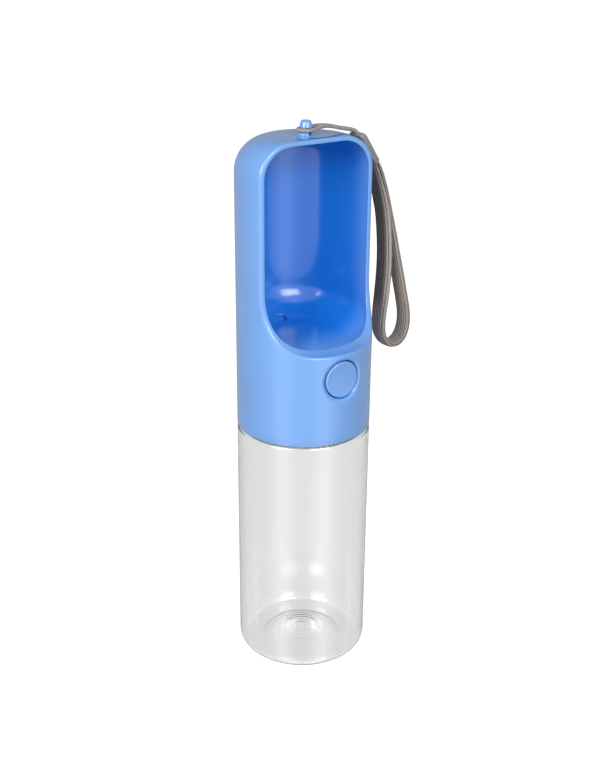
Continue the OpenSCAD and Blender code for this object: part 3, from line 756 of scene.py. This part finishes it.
def lip_half(round_out, round_in):
    """Sections of the lip from the front, up the +X side, to the middle of the crown."""
    sections = []
    outer, inner = outer_edge(), inner_edge()
    for i, (p, q) in enumerate(zip(outer, inner)):
        side, cut = Vector((p.x, p.y, 0)).normalized(), cut_normal(p)
        out_top = onto_cylinder(p + retreat(side, cut) * round_out, BODY_R)
        out_lip = onto_cut(p + retreat(cut, side) * round_out)
        wall, cut = out_of_wall(inner, i), cut_normal(q)
        in_wall = q + retreat(wall, cut) * round_in
        in_lip = onto_cut(q + retreat(cut, wall) * round_in)
        if i == 0:
            out_top.x = out_lip.x = in_wall.x = in_lip.x = 0
        sections.append(lip_section(p, (out_top, out_lip), q, (in_lip, in_wall)))
    out_y = WINDOW_Y + round_out * math.sin(math.acos(-WINDOW_Y / BODY_R))
    in_y = WINDOW_Y + round_in
    for (turn, out_z), (_, in_z) in zip(upper_levels(CROWN_Z), upper_levels(CEILING_Z)):
        p = can_row(turn, out_z, BODY_R, WINDOW_Y, 2)[0]
        q = can_row(turn, in_z, INNER_R, WINDOW_Y, 2, wall_radius)[0]
        if turn == 0:
            q.x = inner[-1].x
        slope = Vector((math.cos(turn), 0, math.sin(turn)))
        sections.append(lip_section(
            p, (can_row(turn, out_z, BODY_R, out_y, 2)[0], p - slope * round_out),
            q, (q + slope * round_in, can_row(turn, in_z, INNER_R, in_y, 2, wall_radius)[0])))
    half_o, half_i = sections[-1][0].x, sections[-1][-1].x
    lip_o, lip_i = p.x, q.x
    for t in spread(1, 0, ACROSS)[1:]:
        p, q = Vector((lip_o * t, WINDOW_Y, CROWN_Z)), Vector((lip_i * t, WINDOW_Y, CEILING_Z))
        sections.append(lip_section(
            p, (Vector((half_o * t, out_y, CROWN_Z)), p - Vector((0, 0, round_out))),
            q, (q + Vector((0, 0, round_in)), Vector((half_i * t, in_y, CEILING_Z)))))
    return sections, out_y, in_y


def mirrored(points):
    return [Vector((-p.x, p.y, p.z)) for p in points]


def bowl_height(x, y):
    """Height of the trough's floor."""
    behind = y + BOWL_FRONT if y < -BOWL_FRONT else max(y, 0)
    past = min(max(math.hypot(x, behind) - BOWL_FLAT, 0), BOWL_R - 0.05)
    rise = BOWL_R - math.sqrt(BOWL_R ** 2 - past ** 2)
    return FLOOR_Z + y * math.tan(FLOOR_TILT) + rise / math.cos(FLOOR_TILT)


def bowl_column(top):
    """Points from the trough's rim down its wall and over the floor to the outlet."""
    foot = Vector((top.x, top.y, bowl_height(top.x, top.y)))
    inward = Vector((-top.x, OUTLET_Y - top.y, 0))
    span = inward.length - OUTLET_R
    inward.normalize()
    soft = min(BOWL_SOFT, (top.z - foot.z) * 0.6)

    def floor_at(distance):
        p = top + inward * distance
        return Vector((p.x, p.y, bowl_height(p.x, p.y)))

    above = Vector((top.x, top.y, foot.z + soft))
    column = [lerp(top, above, t) for t in spread(0, 1, 6)]
    column += rounded(above, foot, floor_at(soft), 6)[1:]
    column += [floor_at(d) for d in spread(soft, span - OUTLET_ROUND, RISE)[1:]]
    lip = floor_at(span)
    inside = lip - Vector((0, 0, OUTLET_ROUND))
    column += rounded(floor_at(span - OUTLET_ROUND), lip, inside, 4)[1:]
    return column + [Vector((lip.x, lip.y, z)) for z in (OUTLET_SEAT_Z + 1, OUTLET_SEAT_Z)]


def dome(p):
    """The crown isn't quite flat."""
    r = math.hypot(p.x, p.y)
    if p.z > CROWN_Z - 0.001 and r < CROWN_FLAT_R:
        p.z += CROWN_DOME * (1 - (r / CROWN_FLAT_R) ** 2)
    return p


# ------------------------------------------------------------ head

def close_top(bm, row, half, side, z, height=None):
    """Close the can's last row and its lip with rings that shrink to the middle.
    side is 0 for the outside and -1 for the trough."""
    ring = row + mirrored(s[side] for s in half[-ACROSS:])
    ring += [s[side] for s in reversed(half[-ACROSS - 1:-1])]
    rows = [[lerp(p, Vector((0, 1, z)), t) for p in ring] for t in (0, *DISC_RINGS)]
    if height:
        rows = [[height(p) for p in row] for row in rows]
    lay(bm, rows)
    bmesh.ops.remove_doubles(bm, verts=bm.verts, dist=0.0005)


def can_back(bm, levels, lip_row, joint, foot_r, y_open, radius_at=None):
    """Lay the rows round the back, of which one ends in the lip's own points."""
    rows = [can_row(turn, z, foot_r, y_open, BACK, radius_at) for turn, z in levels]
    rows[joint][0], rows[joint][-1] = lip_row[-1].copy(), lip_row[0].copy()
    lay(bm, rows)
    return rows


def barrel_point(turn, z):
    return Vector((BODY_R * math.sin(turn), -BODY_R * math.cos(turn), z))


def lay_front(bm, low, lip_row):
    """Barrel in front, from an even row up to the lip, with the button's hole."""
    def front_point(column, t):
        a, b = low[column], lip_row[column]
        turn = lerp(math.atan2(a.x, -a.y), math.atan2(b.x, -b.y), t)
        return barrel_point(turn, lerp(a.z, b.z, t))

    steps = spread(0, 1, RISE)
    left, right = FRONT - PATCH, FRONT + PATCH
    for columns in (range(0, left + 1), range(right, 2 * FRONT + 1)):
        lay(bm, [[front_point(c, t) for c in columns] for t in steps])

    border = ([front_point(c, 0) for c in range(left, right)]
              + [front_point(right, t) for t in steps[:-1]]
              + [front_point(c, 1) for c in range(right, left, -1)]
              + [front_point(left, t) for t in reversed(steps[1:])])
    border.append(border[0].copy())
    angles = [math.atan2(p.z - BUTTON_Z, p.x) for p in border]

    def on_front(x, z, depth=0.0):
        return Vector((x, -math.sqrt(BODY_R ** 2 - x * x) + depth, z))

    def round_hole(r):
        return [(r * math.cos(a), BUTTON_Z + r * math.sin(a)) for a in angles]

    rows = [[Vector((x, GUIDE_END_Y, z)) for x, z in round_hole(BUTTON_HOLE_R)]]
    rows += [[on_front(x, z, depth) for x, z in round_hole(r)] for r, depth in RECESS]
    edge = round_hole(RECESS[-1][0])
    rows += [[on_front(lerp(x, p.x, t), lerp(z, p.z, t)) for (x, z), p in zip(edge, border)]
             for t in spread(0, 1, 5)[1:]]
    lay(bm, rows)


def head_skin(bm):
    """Outside, lip and trough of the drinking head."""
    half, out_y, in_y = lip_half(settings().head.lip_round / MM, WALL_EDGE_ROUND)
    loop = [mirrored(s) for s in reversed(half[1:FRONT + 1])] + half[:FRONT + 1]
    upper = half[FRONT:]
    closed = loop + upper[1:] + [mirrored(s) for s in reversed(upper[:-1])]
    lay(bm, list(zip(*closed)))

    # outside: the back, the front and the skirt
    lip_row = [s[0] for s in loop]
    lower = [(0, z) for z in spread(PATCH_Z, SWEEP_Z, RISE)]
    rows = can_back(bm, lower + upper_levels(CROWN_Z), lip_row, RISE, BODY_R, out_y)
    close_top(bm, rows[-1], half, 0, CROWN_Z, dome)
    side = math.atan2(lip_row[-1].x, -lip_row[-1].y)
    low = [barrel_point(turn, PATCH_Z) for turn in spread(-side, side, 2 * FRONT)]
    lay_front(bm, low, lip_row)
    lay(bm, [[Vector((p.x * r / BODY_R, p.y * r / BODY_R, HEAD_Z + up))
              for p in low + rows[0][1:]] for r, up in SKIRT])

    # trough: wall, ceiling and floor
    lip_row = [s[-1] for s in loop]
    rows = can_back(bm, [(0, SWEEP_Z)] + upper_levels(CEILING_Z), lip_row, 0, INNER_R, in_y,
                    wall_radius)
    close_top(bm, rows[-1], half, -1, CEILING_Z)
    lay(bm, list(zip(*[bowl_column(p) for p in lip_row + rows[0][1:]])))

    bmesh.ops.remove_doubles(bm, verts=bm.verts, dist=0.02)
    bmesh.ops.recalc_face_normals(bm, faces=bm.faces)
    outermost = max(bm.faces, key=lambda f: f.calc_center_median().y)
    if outermost.normal.y < 0:
        bmesh.ops.reverse_faces(bm, faces=bm.faces)
    # the small openings in the middle of the crown and of the ceiling
    small = [e for e in bm.edges if e.is_boundary
             and abs(e.verts[0].co.z - e.verts[1].co.z) < 0.2
             and all(v.co.z > 270 and math.hypot(v.co.x, v.co.y) < 3 for v in e.verts)]
    bmesh.ops.holes_fill(bm, edges=small, sides=0)


def under_trough():
    """Dry space under the trough, with bosses and guide, as the frame has it."""
    bm = frame_mesh("drinking_head")

    def dropped(face):
        """Faces that head_skin() makes: trough, skirt, outlet, button's hole and front."""
        p = face.calc_center_median()
        return (math.hypot(p.x, p.y) > TROUGH_LIMIT_R
                or p.z > FLOOR_Z + p.y * math.tan(FLOOR_TILT) - 0.3
                or p.z < HEAD_Z + 0.01
                or math.hypot(p.x, p.y - OUTLET_Y) < OUTLET_R + 0.05
                or p.y < -24 and math.hypot(p.x, p.z - BUTTON_Z) < BUTTON_HOLE_R - 0.1
                or p.y < -32.55)

    bmesh.ops.delete(bm, geom=[f for f in bm.faces if dropped(f)], context="FACES")
    return bm


def trough_shade_share(p):
    """How far inside the trough, or the gap round the button, a point lies, 0 to 1: the share
    of painted shade there.
    """
    across = math.hypot(p.x, p.y)
    gap = math.hypot(p.x, p.z - BUTTON_Z) - BUTTON_HOLE_R
    if p.y < GUIDE_END_Y + 0.01 and gap < GAP_SHADE:
        return 1 - soft_step(gap, 0.02, GAP_SHADE)
    if p.z > CROWN_FOOT:
        across = CROWN_FLAT_R + math.hypot(max(across - CROWN_FLAT_R, 0), p.z - CROWN_FOOT)
    if across > TROUGH_LIMIT_R or p.z < bowl_height(p.x, p.y) - 1.5:
        return 0.0
    depth = p.y - WINDOW_Y
    if p.z < SWEEP_Z:
        depth = 25 * (math.hypot((p.y - SWEEP_Y) / SWEEP_W, (SWEEP_Z - p.z) / SWEEP_H) - 1)
    return soft_step(depth, -2, 20)


class WATERBOTTLE_OT_drinking_head(bpy.types.Operator):
    """Blue head with the window, the rounded lip and the trough"""
    bl_idname = "waterbottle.drinking_head"
    bl_label = "Drinking Head"

    def execute(self, context):
        bm = bmesh.new()
        head_skin(bm)
        take_over(bm, under_trough())
        piece = add_piece(bm, "head_shell", "head", head_plastic(),
                          ["drinking_head"], weld=0.0005, sharp=50)
        # painted shade: its share inside the trough and in the gap round the button
        share = piece.data.attributes.new("trough", "FLOAT", "POINT")
        for vertex in piece.data.vertices:
            share.data[vertex.index].value = trough_shade_share(vertex.co / MM)
        return {"FINISHED"}


# ------------------------------------------------------------ button, post

def button_ring(r, y=None, depth=0.0):
    """Ring of the button at one y, or at a depth below its curved face."""
    ring = []
    for a in spread(0, math.tau, BUTTON_STEPS):
        x = r * math.cos(a)
        here = depth - math.sqrt((BODY_R - BUTTON_LEVEL) ** 2 - x * x) if y is None else y
        ring.append(Vector((x, here, BUTTON_Z + r * math.sin(a))))
    return ring


class WATERBOTTLE_OT_button(bpy.types.Operator):
    """Round push button with a finger dish and a rounded rim"""
    bl_idname = "waterbottle.button"
    bl_label = "Push Button"

    def execute(self, context):
        rows = [button_ring(r, y) for r, y in (
            (0, BUTTON_STEM_Y), (BUTTON_STEM_R, BUTTON_STEM_Y), (BUTTON_STEM_R, BUTTON_BACK_Y),
            (BUTTON_R - 0.3, BUTTON_BACK_Y), (BUTTON_R, BUTTON_BACK_Y - 0.3))]
        rows += [button_ring(r, depth=depth) for r, depth in BUTTON_RIM]
        for r in BUTTON_DISH:
            deep = BUTTON_DISH_DEEP * (1 - (r / BUTTON_DISH_R) ** 2)
            rows.append(button_ring(r, depth=BUTTON_DISH_EDGE + deep))
        bm = bmesh.new()
        lay(bm, rows)
        close_up(bm, 0.002)
        add_piece(bm, "button_cap", "push_button", head_plastic(), ["button"],
                  sharp=50)
        return {"FINISHED"}


class WATERBOTTLE_OT_strap_post(bpy.types.Operator):
    """Post on the crown, with its eye and softened edges"""
    bl_idname = "waterbottle.strap_post"
    bl_label = "Strap Post"

    def execute(self, context):
        bm = frame_mesh("strap_post")
        bmesh.ops.dissolve_limit(bm, angle_limit=math.radians(1), verts=bm.verts,
                                 edges=bm.edges)
        sharp = [e for e in bm.edges if len(e.link_faces) == 2
                 and e.calc_face_angle(0) > math.radians(35) and e.calc_length() > 0.01]
        bmesh.ops.bevel(bm, geom=sharp, offset=0.22, offset_type="OFFSET", segments=3,
                        profile=0.5, affect="EDGES", material=-1, clamp_overlap=True)
        add_piece(bm, "post_on_crown", "head", head_plastic(), ["strap_post"],
                  weld=0, sharp=40)
        return {"FINISHED"}


# ------------------------------------------------------------ bottle

def turned(bm, profile, steps):
    """Spin a line of (radius, height) points round the Z axis."""
    verts = [bm.verts.new((r, 0, z)) for r, z in profile]
    edges = [bm.edges.new(pair) for pair in zip(verts, verts[1:])]
    bmesh.ops.spin(bm, geom=verts + edges, cent=(0, 0, 0), axis=(0, 0, 1),
                   angle=math.tau, steps=steps, use_merge=True)


def punt_line(depth, ring_height):
    """Domed base from the axis out to its rim, with moulded rings."""
    points = []
    for r in spread(0, DOME_EDGE, 4 * DOME_EDGE):
        z = DOME_H - DOME_R + math.sqrt((DOME_R + depth) ** 2 - r * r)
        for ring, width, share in BASE_RINGS:
            z -= share * ring_height * math.exp(-((r - ring) / width) ** 2)
        points.append((r, max(z, depth)))
    return points


def neck_thread():
    """Rounded thread that fades at both ends."""
    rows, foot_r, steps = [], THREAD_R - 0.2, int(THREAD_TURNS * THREAD_STEPS)
    for i in range(steps + 1):
        turn = i / THREAD_STEPS
        full = max(0.15, min(1, i / THREAD_FADE, (steps - i) / THREAD_FADE))
        crest, flank = THREAD_R + THREAD_H * full, THREAD_R + THREAD_H * full * 0.75
        rows.append([Vector((r * math.cos(math.tau * turn), r * math.sin(math.tau * turn),
                             THREAD_Z + THREAD_PITCH * turn + up)) for r, up in (
            (foot_r, -1.5), (flank, -1.05), (crest, -0.6), (crest, 0.6), (flank, 1.05),
            (foot_r, 1.5), (foot_r, -1.5))])
    bm = bmesh.new()
    lay(bm, rows)
    close_up(bm, 0.002)
    return bm


class WATERBOTTLE_OT_bottle(bpy.types.Operator):
    """Clear bottle with a domed base, a rounded heel and a threaded neck"""
    bl_idname = "waterbottle.bottle"
    bl_label = "Bottle"

    def execute(self, context):
        ring = settings().bottle.ring_height / MM
        profile = punt_line(0, ring)[:-1]
        for part in BOTTLE_WALL:
            profile += [part] if len(part) == 2 else arc(*part)
        profile += reversed(punt_line(BASE_WALL, ring)[:-1])
        bm = bmesh.new()
        turned(bm, profile, BOTTLE_STEPS)
        close_up(bm, 0.002)
        take_over(bm, neck_thread())
        add_piece(bm, "clear_bottle", "bottle", clear_plastic(), ["bottle"],
                  weld=0, sharp=55)
        return {"FINISHED"}


# ------------------------------------------------------------ strap

def tube(bm, path, radius, sides):
    """Closed tube along a path, with its UV map in millimetres."""
    reach, angles = reaches(path), spread(0, math.tau, sides)
    rows = []
    for i, p in enumerate(path):
        run = heading(path, i)
        side = run.cross(Vector((0, 0, 1))).normalized()
        top = side.cross(run)
        rows.append([p + radius * (side * math.cos(a) + top * math.sin(a)) for a in angles])
    lay(bm, rows, [[(here, radius * a) for a in angles] for here in reach])
    close_up(bm)
    return reach[-1]


def cord_path():
    lead = [Vector(p) for p in CORD_LEAD]
    turn = [Vector((CORD_TURN_R * math.cos(a), CORD_TURN_R * math.sin(a), CORD_TURN_Z))
            for a in spread(math.radians(70), math.radians(290), 11)]
    back = [Vector((x, -y, z)) for x, y, z in reversed(CORD_LEAD)]
    return smooth_route(lead + turn + back, 4)


class WATERBOTTLE_OT_strap_cord(bpy.types.Operator):
    """Thin braided cord, doubled and looped round the post"""
    bl_idname = "waterbottle.strap_cord"
    bl_label = "Strap Cord"

    def execute(self, context):
        path = cord_path()
        bm = bmesh.new()
        length = tube(bm, path, CORD_D / 2, 20)
        piece = add_piece(bm, "braided_cord", "strap",
                          yarn_material("Braided Yarn", 0.8, 0.6, 0.55), ["strap_cord"],
                          weld=0)
        return {"FINISHED"}


def web_shape(here, length):
    """Width, thickness, share of the turn and of the painted shade at a length along the strap.
    """
    inside = min(here, length - here)
    open_part = soft_step(inside, 7.5, 11.5)
    closed_thick = lerp(WEB_CLOSED[1], WEB_OPEN_THICK, soft_step(inside, 14, 48))
    # the strand beside the head hangs a little turned, and takes painted shade on its face
    # towards the head
    turn = soft_step(here, 8, 30) * (1 - soft_step(here, 78, 104))
    grime = soft_step(here, 2, 14) * (1 - 0.6 * soft_step(here, 78, 92)
                                      - 0.4 * soft_step(here, 92, 112))
    return (lerp(WEB_CLAMPED[0], WEB_CLOSED[0], open_part),
            lerp(WEB_CLAMPED[1], closed_thick, open_part), turn, grime)


class WATERBOTTLE_OT_webbing(bpy.types.Operator):
    """Ribbed webbing of the wrist strap"""
    bl_idname = "waterbottle.webbing"
    bl_label = "Wrist Strap"

    def execute(self, context):
        ribs = settings().strap.ribs
        height = settings().strap.rib_height / MM
        path = smooth_route([Vector((x, 0, z)) for x, z in STRAP_ROUTE], 8)
        reach = reaches(path)
        # across one face and back over the other: side and share of the width
        places = ([(1, t) for t in spread(0, 1, WEB_COLUMNS)]
                  + [(-1, t) for t in spread(1, 0, WEB_COLUMNS)[1:]])
        rows, uvs, grime = [], [], []
        for i, (p, here) in enumerate(zip(path, reach)):
            width, thick, turn, shade_share = web_shape(here, reach[-1])
            run = heading(path, i)
            out = Vector((-run.z, 0, run.x))
            c, s = math.cos(WEB_TURN * turn), math.sin(WEB_TURN * turn)
            wide, deep = Vector((0, c, 0)) - out * s, out * c + Vector((0, s, 0))
            middle = p - Vector((0, WEB_ASIDE * turn, 0))
            row = []
            for side, t in places:
                y = (t - 0.5) * width
                edge = math.sqrt(max(1 - abs(2 * t - 1) ** WEB_EDGE, 0))
                rib = abs(math.sin(math.pi * ribs * t))
                up = side * edge * (thick / 2 - height + height * rib)
                row.append(middle + wide * y + deep * up)
                # painted shade on the face towards the head, fading out before its front edge,
                # which stays lit
                grime.append(shade_share * soft_step(y, -3.2, -1.4) if side < 0 else 0)
            rows.append(row)
            uvs.append([(here, t * width + (0 if side > 0 else 12)) for side, t in places])
        bm = bmesh.new()
        layer = bm.verts.layers.float.new("grime")
        for vert, value in zip(lay(bm, rows, uvs), grime):
            vert[layer] = value
        close_up(bm)
        piece = add_piece(bm, "ribbed_webbing", "strap",
                          yarn_material("Knitted Webbing", 1.2, WEB_CLOSED[0] / ribs, 0.0),
                          ["wrist_strap"], weld=0)
        return {"FINISHED"}


def ferrule_ring(along, thick, wide, back=0.0):
    """Rounded rectangle across the ferrule."""
    ring = []
    for a in spread(0, math.tau, FERRULE_STEPS):
        x, y = (math.copysign(abs(c) ** FERRULE_SQUARE, c) for c in (math.cos(a), math.sin(a)))
        ring.append(Vector((x * thick / 2 - back, y * wide / 2, along)))
    return ring


class WATERBOTTLE_OT_ferrule(bpy.types.Operator):
    """Crimped grey ferrule between the cord and the webbing"""
    bl_idname = "waterbottle.ferrule"
    bl_label = "Ferrule"

    def execute(self, context):
        bm = bmesh.new()
        # above the taper's start only the front gets thinner
        lay(bm, [ferrule_ring(*station) for station in FERRULE_MOUTH]
            + [ferrule_ring(along, thick, wide,
                            (FERRULE_THICK - thick) / 2 if along > FERRULE_TAPER else 0)
               for along, thick, wide in FERRULE])
        close_up(bm)
        bmesh.ops.rotate(bm, verts=bm.verts, cent=(0, 0, 0),
                         matrix=Matrix.Rotation(-FERRULE_TURN, 3, "Y"))
        bmesh.ops.translate(bm, verts=bm.verts, vec=(FERRULE_FOOT[0], 0, FERRULE_FOOT[1]))
        add_piece(bm, "crimped_ferrule", "strap",
                  plastic("Ferrule Plastic", settings().strap.ferrule_grey, flow=0.85,
                          rough=0.48, smudge=0.12, height=0.25), ["strap_ferrule"], weld=0,
                  sharp=45)
        return {"FINISHED"}


# ------------------------------------------------------------ springs

def coil(radius, length):
    """Line of a coil that stands on its lower end, with a closed turn at each end."""
    free = length - 2 * SPRING_REST - 2 * SPRING_WIRE
    path = []
    for t in spread(0, SPRING_TURNS, SPRING_TURNS * 36):
        closed = SPRING_WIRE * (min(t, 1) + max(t - SPRING_TURNS + 1, 0))
        share = min(max((t - 1) / (SPRING_TURNS - 2), 0), 1)
        path.append(Vector((radius * math.cos(math.tau * t), radius * math.sin(math.tau * t),
                            SPRING_REST + closed + free * share)))
    return path


class WATERBOTTLE_OT_springs(bpy.types.Operator):
    """Coil springs of the valve and the button, with closed ends"""
    bl_idname = "waterbottle.springs"
    bl_label = "Springs"

    def execute(self, context):
        upright = Matrix.Identity(3)
        lying = Matrix.Rotation(math.radians(90), 3, "X")
        # name, node, joint, turn of the coil's axis, radius, fixed end, length, travel
        for name, node_name, joint, turn, radius, fixed, length, travel in (
                ("valve_coil_spring", "valve_spring", "valve_open", upright, 5.5,
                 (0, 0, 161.3), 7.2, 3.5),
                ("button_coil_spring", "button_spring", "button_press", lying, 5.6,
                 (0, -20.0, BUTTON_Z), 9.5, 3.5)):
            bm = bmesh.new()
            tube(bm, coil(radius, length), SPRING_WIRE / 2, 14)
            bmesh.ops.rotate(bm, verts=bm.verts, cent=(0, 0, 0), matrix=turn)
            bmesh.ops.translate(bm, verts=bm.verts, vec=fixed)
            piece = add_piece(bm, name, "head", steel("Spring Steel"), [node_name],
                              weld=0)
            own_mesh(piece)
        return {"FINISHED"}


# ------------------------------------------------------------ inner parts

class WATERBOTTLE_OT_inner_parts(bpy.types.Operator):
    """Finishes of the collar, the valve, the seals and the screws"""
    bl_idname = "waterbottle.inner_parts"
    bl_label = "Inner Parts"

    def execute(self, context):
        white = plastic("White Plastic", (0.78, 0.79, 0.80), flow=0.95, rough=0.34,
                        smudge=0.1, height=0.12)
        slider = plastic("Slider Plastic", (0.72, 0.73, 0.74), flow=0.95, rough=0.28,
                         smudge=0.08, height=0.1)
        silicone = plastic("Silicone", (0.62, 0.64, 0.66), flow=0.9, rough=0.5,
                           smudge=0.15, height=0.2,
                           **{"Subsurface Weight": 0.2, "Subsurface Radius": (0.002,) * 3})
        rubber = plastic("Black Rubber", (0.03, 0.03, 0.032), flow=0.7, rough=0.6,
                         smudge=0.15, height=0.3)
        for material, names in (
                (white, ("thread_collar", "valve_cover", "riser_tube", "slide_bracket")),
                (slider, ("valve_stem", "stem_cam", "button_slider")),
                (silicone, ("neck_gasket", "chamber_seal", "riser_seal", "valve_plug")),
                (rubber, ("stem_o_ring",)),
                (steel(), ("collar_screws", "cover_screws", "bracket_screws"))):
            for name in names:
                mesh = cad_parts[name].data
                mesh.materials.clear()
                mesh.materials.append(material)
        return {"FINISHED"}


# ------------------------------------------------------------ stage

def around(azimuth, distance, height):
    a = math.radians(azimuth)
    return (distance * math.sin(a), -distance * math.cos(a), height)


def add_lamp(name, azimuth, lift, size, power):
    lamp = bpy.data.lights.new(name, "AREA")
    lamp.shape = "RECTANGLE"
    lamp.size, lamp.size_y = size
    lamp.energy = power * settings().stage.lamp_level
    up = math.radians(lift)
    place = Vector(around(azimuth, math.cos(up), LOOK_AT[2] + math.sin(up)))
    made = bpy.data.objects.new(name, lamp)
    made.location = place
    made.rotation_euler = (Vector(LOOK_AT) - place).to_track_quat("-Z", "Y").to_euler()
    bpy.context.scene.collection.objects.link(made)


def add_camera(scene):
    lens = bpy.data.cameras.new("Camera")
    lens.lens = CAMERA_LENS
    lens.sensor_width = 36
    lens.clip_start = 0.01
    camera = bpy.data.objects.new("Camera", lens)
    camera.location = CAMERA_PLACE
    camera.rotation_euler = CAMERA_TURN
    scene.collection.objects.link(camera)
    scene.camera = camera
    scene.view_settings.view_transform = "Standard"


def add_sky(scene):
    """Even white sky, dimmer as light than to the eye, with glows for shiny walls."""
    sky = bpy.data.worlds.new("Even Sky")
    scene.world = sky
    sky.use_nodes = True
    tree = sky.node_tree
    do = functools.partial(maths, tree)
    path = node(tree, "LightPath").outputs
    seen = do("MAXIMUM", do("MAXIMUM", path["Is Camera Ray"], path["Is Transmission Ray"]),
              path["Is Glossy Ray"])
    level = mapped(tree, seen, 0, 1, settings().stage.sky_level, 1.0)
    way = node(tree, "TexCoord").outputs["Generated"]
    flat = node(tree, "VectorMath", {0: way, 1: (1, 1, 0)}, operation="MULTIPLY")
    level_way = node(tree, "VectorMath", {0: flat.outputs[0]}, operation="NORMALIZE")
    glow = 0.0
    for azimuth, sharpness, strength in MIRRORED:
        near = node(tree, "VectorMath", {0: level_way.outputs[0], 1: around(azimuth, 1, 0)},
                    operation="DOT_PRODUCT").outputs["Value"]
        fall = do("EXPONENT", do("MULTIPLY", do("SUBTRACT", near, 1), sharpness))
        glow = do("MULTIPLY_ADD", fall, strength, glow)
    level = do("MULTIPLY_ADD", glow, path["Is Glossy Ray"], level)
    background = tree.nodes["Background"].inputs
    put(tree, level, background["Strength"])
    put(tree, (1, 1, 1), background["Color"])


def floor_material():
    """White floor, nearly as white through the clear wall as beside it."""
    material = bpy.data.materials.new("White Floor")
    material.use_nodes = True
    tree = material.node_tree
    principled = tree.nodes["Principled BSDF"]
    for label, value in {"Base Color": (0.55, 0.55, 0.55), "Roughness": 1,
                         "Specular IOR Level": 0}.items():
        put(tree, value, principled.inputs[label])
    path = node(tree, "LightPath").outputs
    glow = node(tree, "Emission", {
        "Strength": maths(tree, "MULTIPLY", path["Is Camera Ray"], FLOOR_GLOW)})
    both = node(tree, "AddShader", {0: principled.outputs[0], 1: glow.outputs[0]})
    through = node(tree, "MixShader", {
        0: maths(tree, "MULTIPLY", path["Is Transmission Ray"], FLOOR_THROUGH),
        1: both.outputs[0], 2: node(tree, "Emission").outputs[0]})
    put(tree, through.outputs[0], tree.nodes["Material Output"].inputs["Surface"])
    return material


def add_floor(scene):
    bm = bmesh.new()
    bmesh.ops.create_grid(bm, x_segments=8, y_segments=8, size=FLOOR_HALF)
    mesh = bpy.data.meshes.new("floor")
    bm.to_mesh(mesh)
    bm.free()
    floor = bpy.data.objects.new("floor", mesh)
    floor.location.z = -FLOOR_DROP
    scene.collection.objects.link(floor)
    floor.visible_glossy = False
    mesh.materials.append(floor_material())


class WATERBOTTLE_OT_stage(bpy.types.Operator):
    """Camera, white floor, even sky and soft lamps"""
    bl_idname = "waterbottle.stage"
    bl_label = "Stage"

    def execute(self, context):
        add_camera(context.scene)
        add_sky(context.scene)
        add_floor(context.scene)
        for lamp in LAMPS:
            add_lamp(*lamp)
        return {"FINISHED"}


# ------------------------------------------------------------ panel

OPERATORS = (
    WATERBOTTLE_OT_stage, WATERBOTTLE_OT_ferrule, WATERBOTTLE_OT_strap_cord,
    WATERBOTTLE_OT_webbing, WATERBOTTLE_OT_drinking_head, WATERBOTTLE_OT_button,
    WATERBOTTLE_OT_strap_post, WATERBOTTLE_OT_bottle, WATERBOTTLE_OT_springs,
    WATERBOTTLE_OT_inner_parts,
)


class WATERBOTTLE_PT_panel(bpy.types.Panel):
    """Lists the pieces and their settings"""
    bl_idname = "WATERBOTTLE_PT_panel"
    bl_label = "Water Bottle"
    bl_space_type = "VIEW_3D"
    bl_region_type = "UI"
    bl_category = "Water Bottle"

    def draw(self, context):
        model = context.scene.water_bottle
        for group in (model.head, model.bottle, model.strap, model.stage):
            column = self.layout.column()
            for field in type(group).__annotations__:
                column.prop(group, field)
        for operator in OPERATORS:
            self.layout.operator(operator.bl_idname)


CLASSES = (HeadSettings, BottleSettings, StrapSettings, StageSettings, BottleModelSettings,
           *OPERATORS, WATERBOTTLE_PT_panel)


def register():
    for made in CLASSES:
        bpy.utils.register_class(made)
    bpy.types.Scene.water_bottle = PointerProperty(type=BottleModelSettings)


def unregister():
    del bpy.types.Scene.water_bottle
    for made in reversed(CLASSES):
        bpy.utils.unregister_class(made)


def main():
    register()
    for operator in OPERATORS:
        group, name = operator.bl_idname.split(".")
        getattr(getattr(bpy.ops, group), name)()


if __name__ == "__main__":
    main()
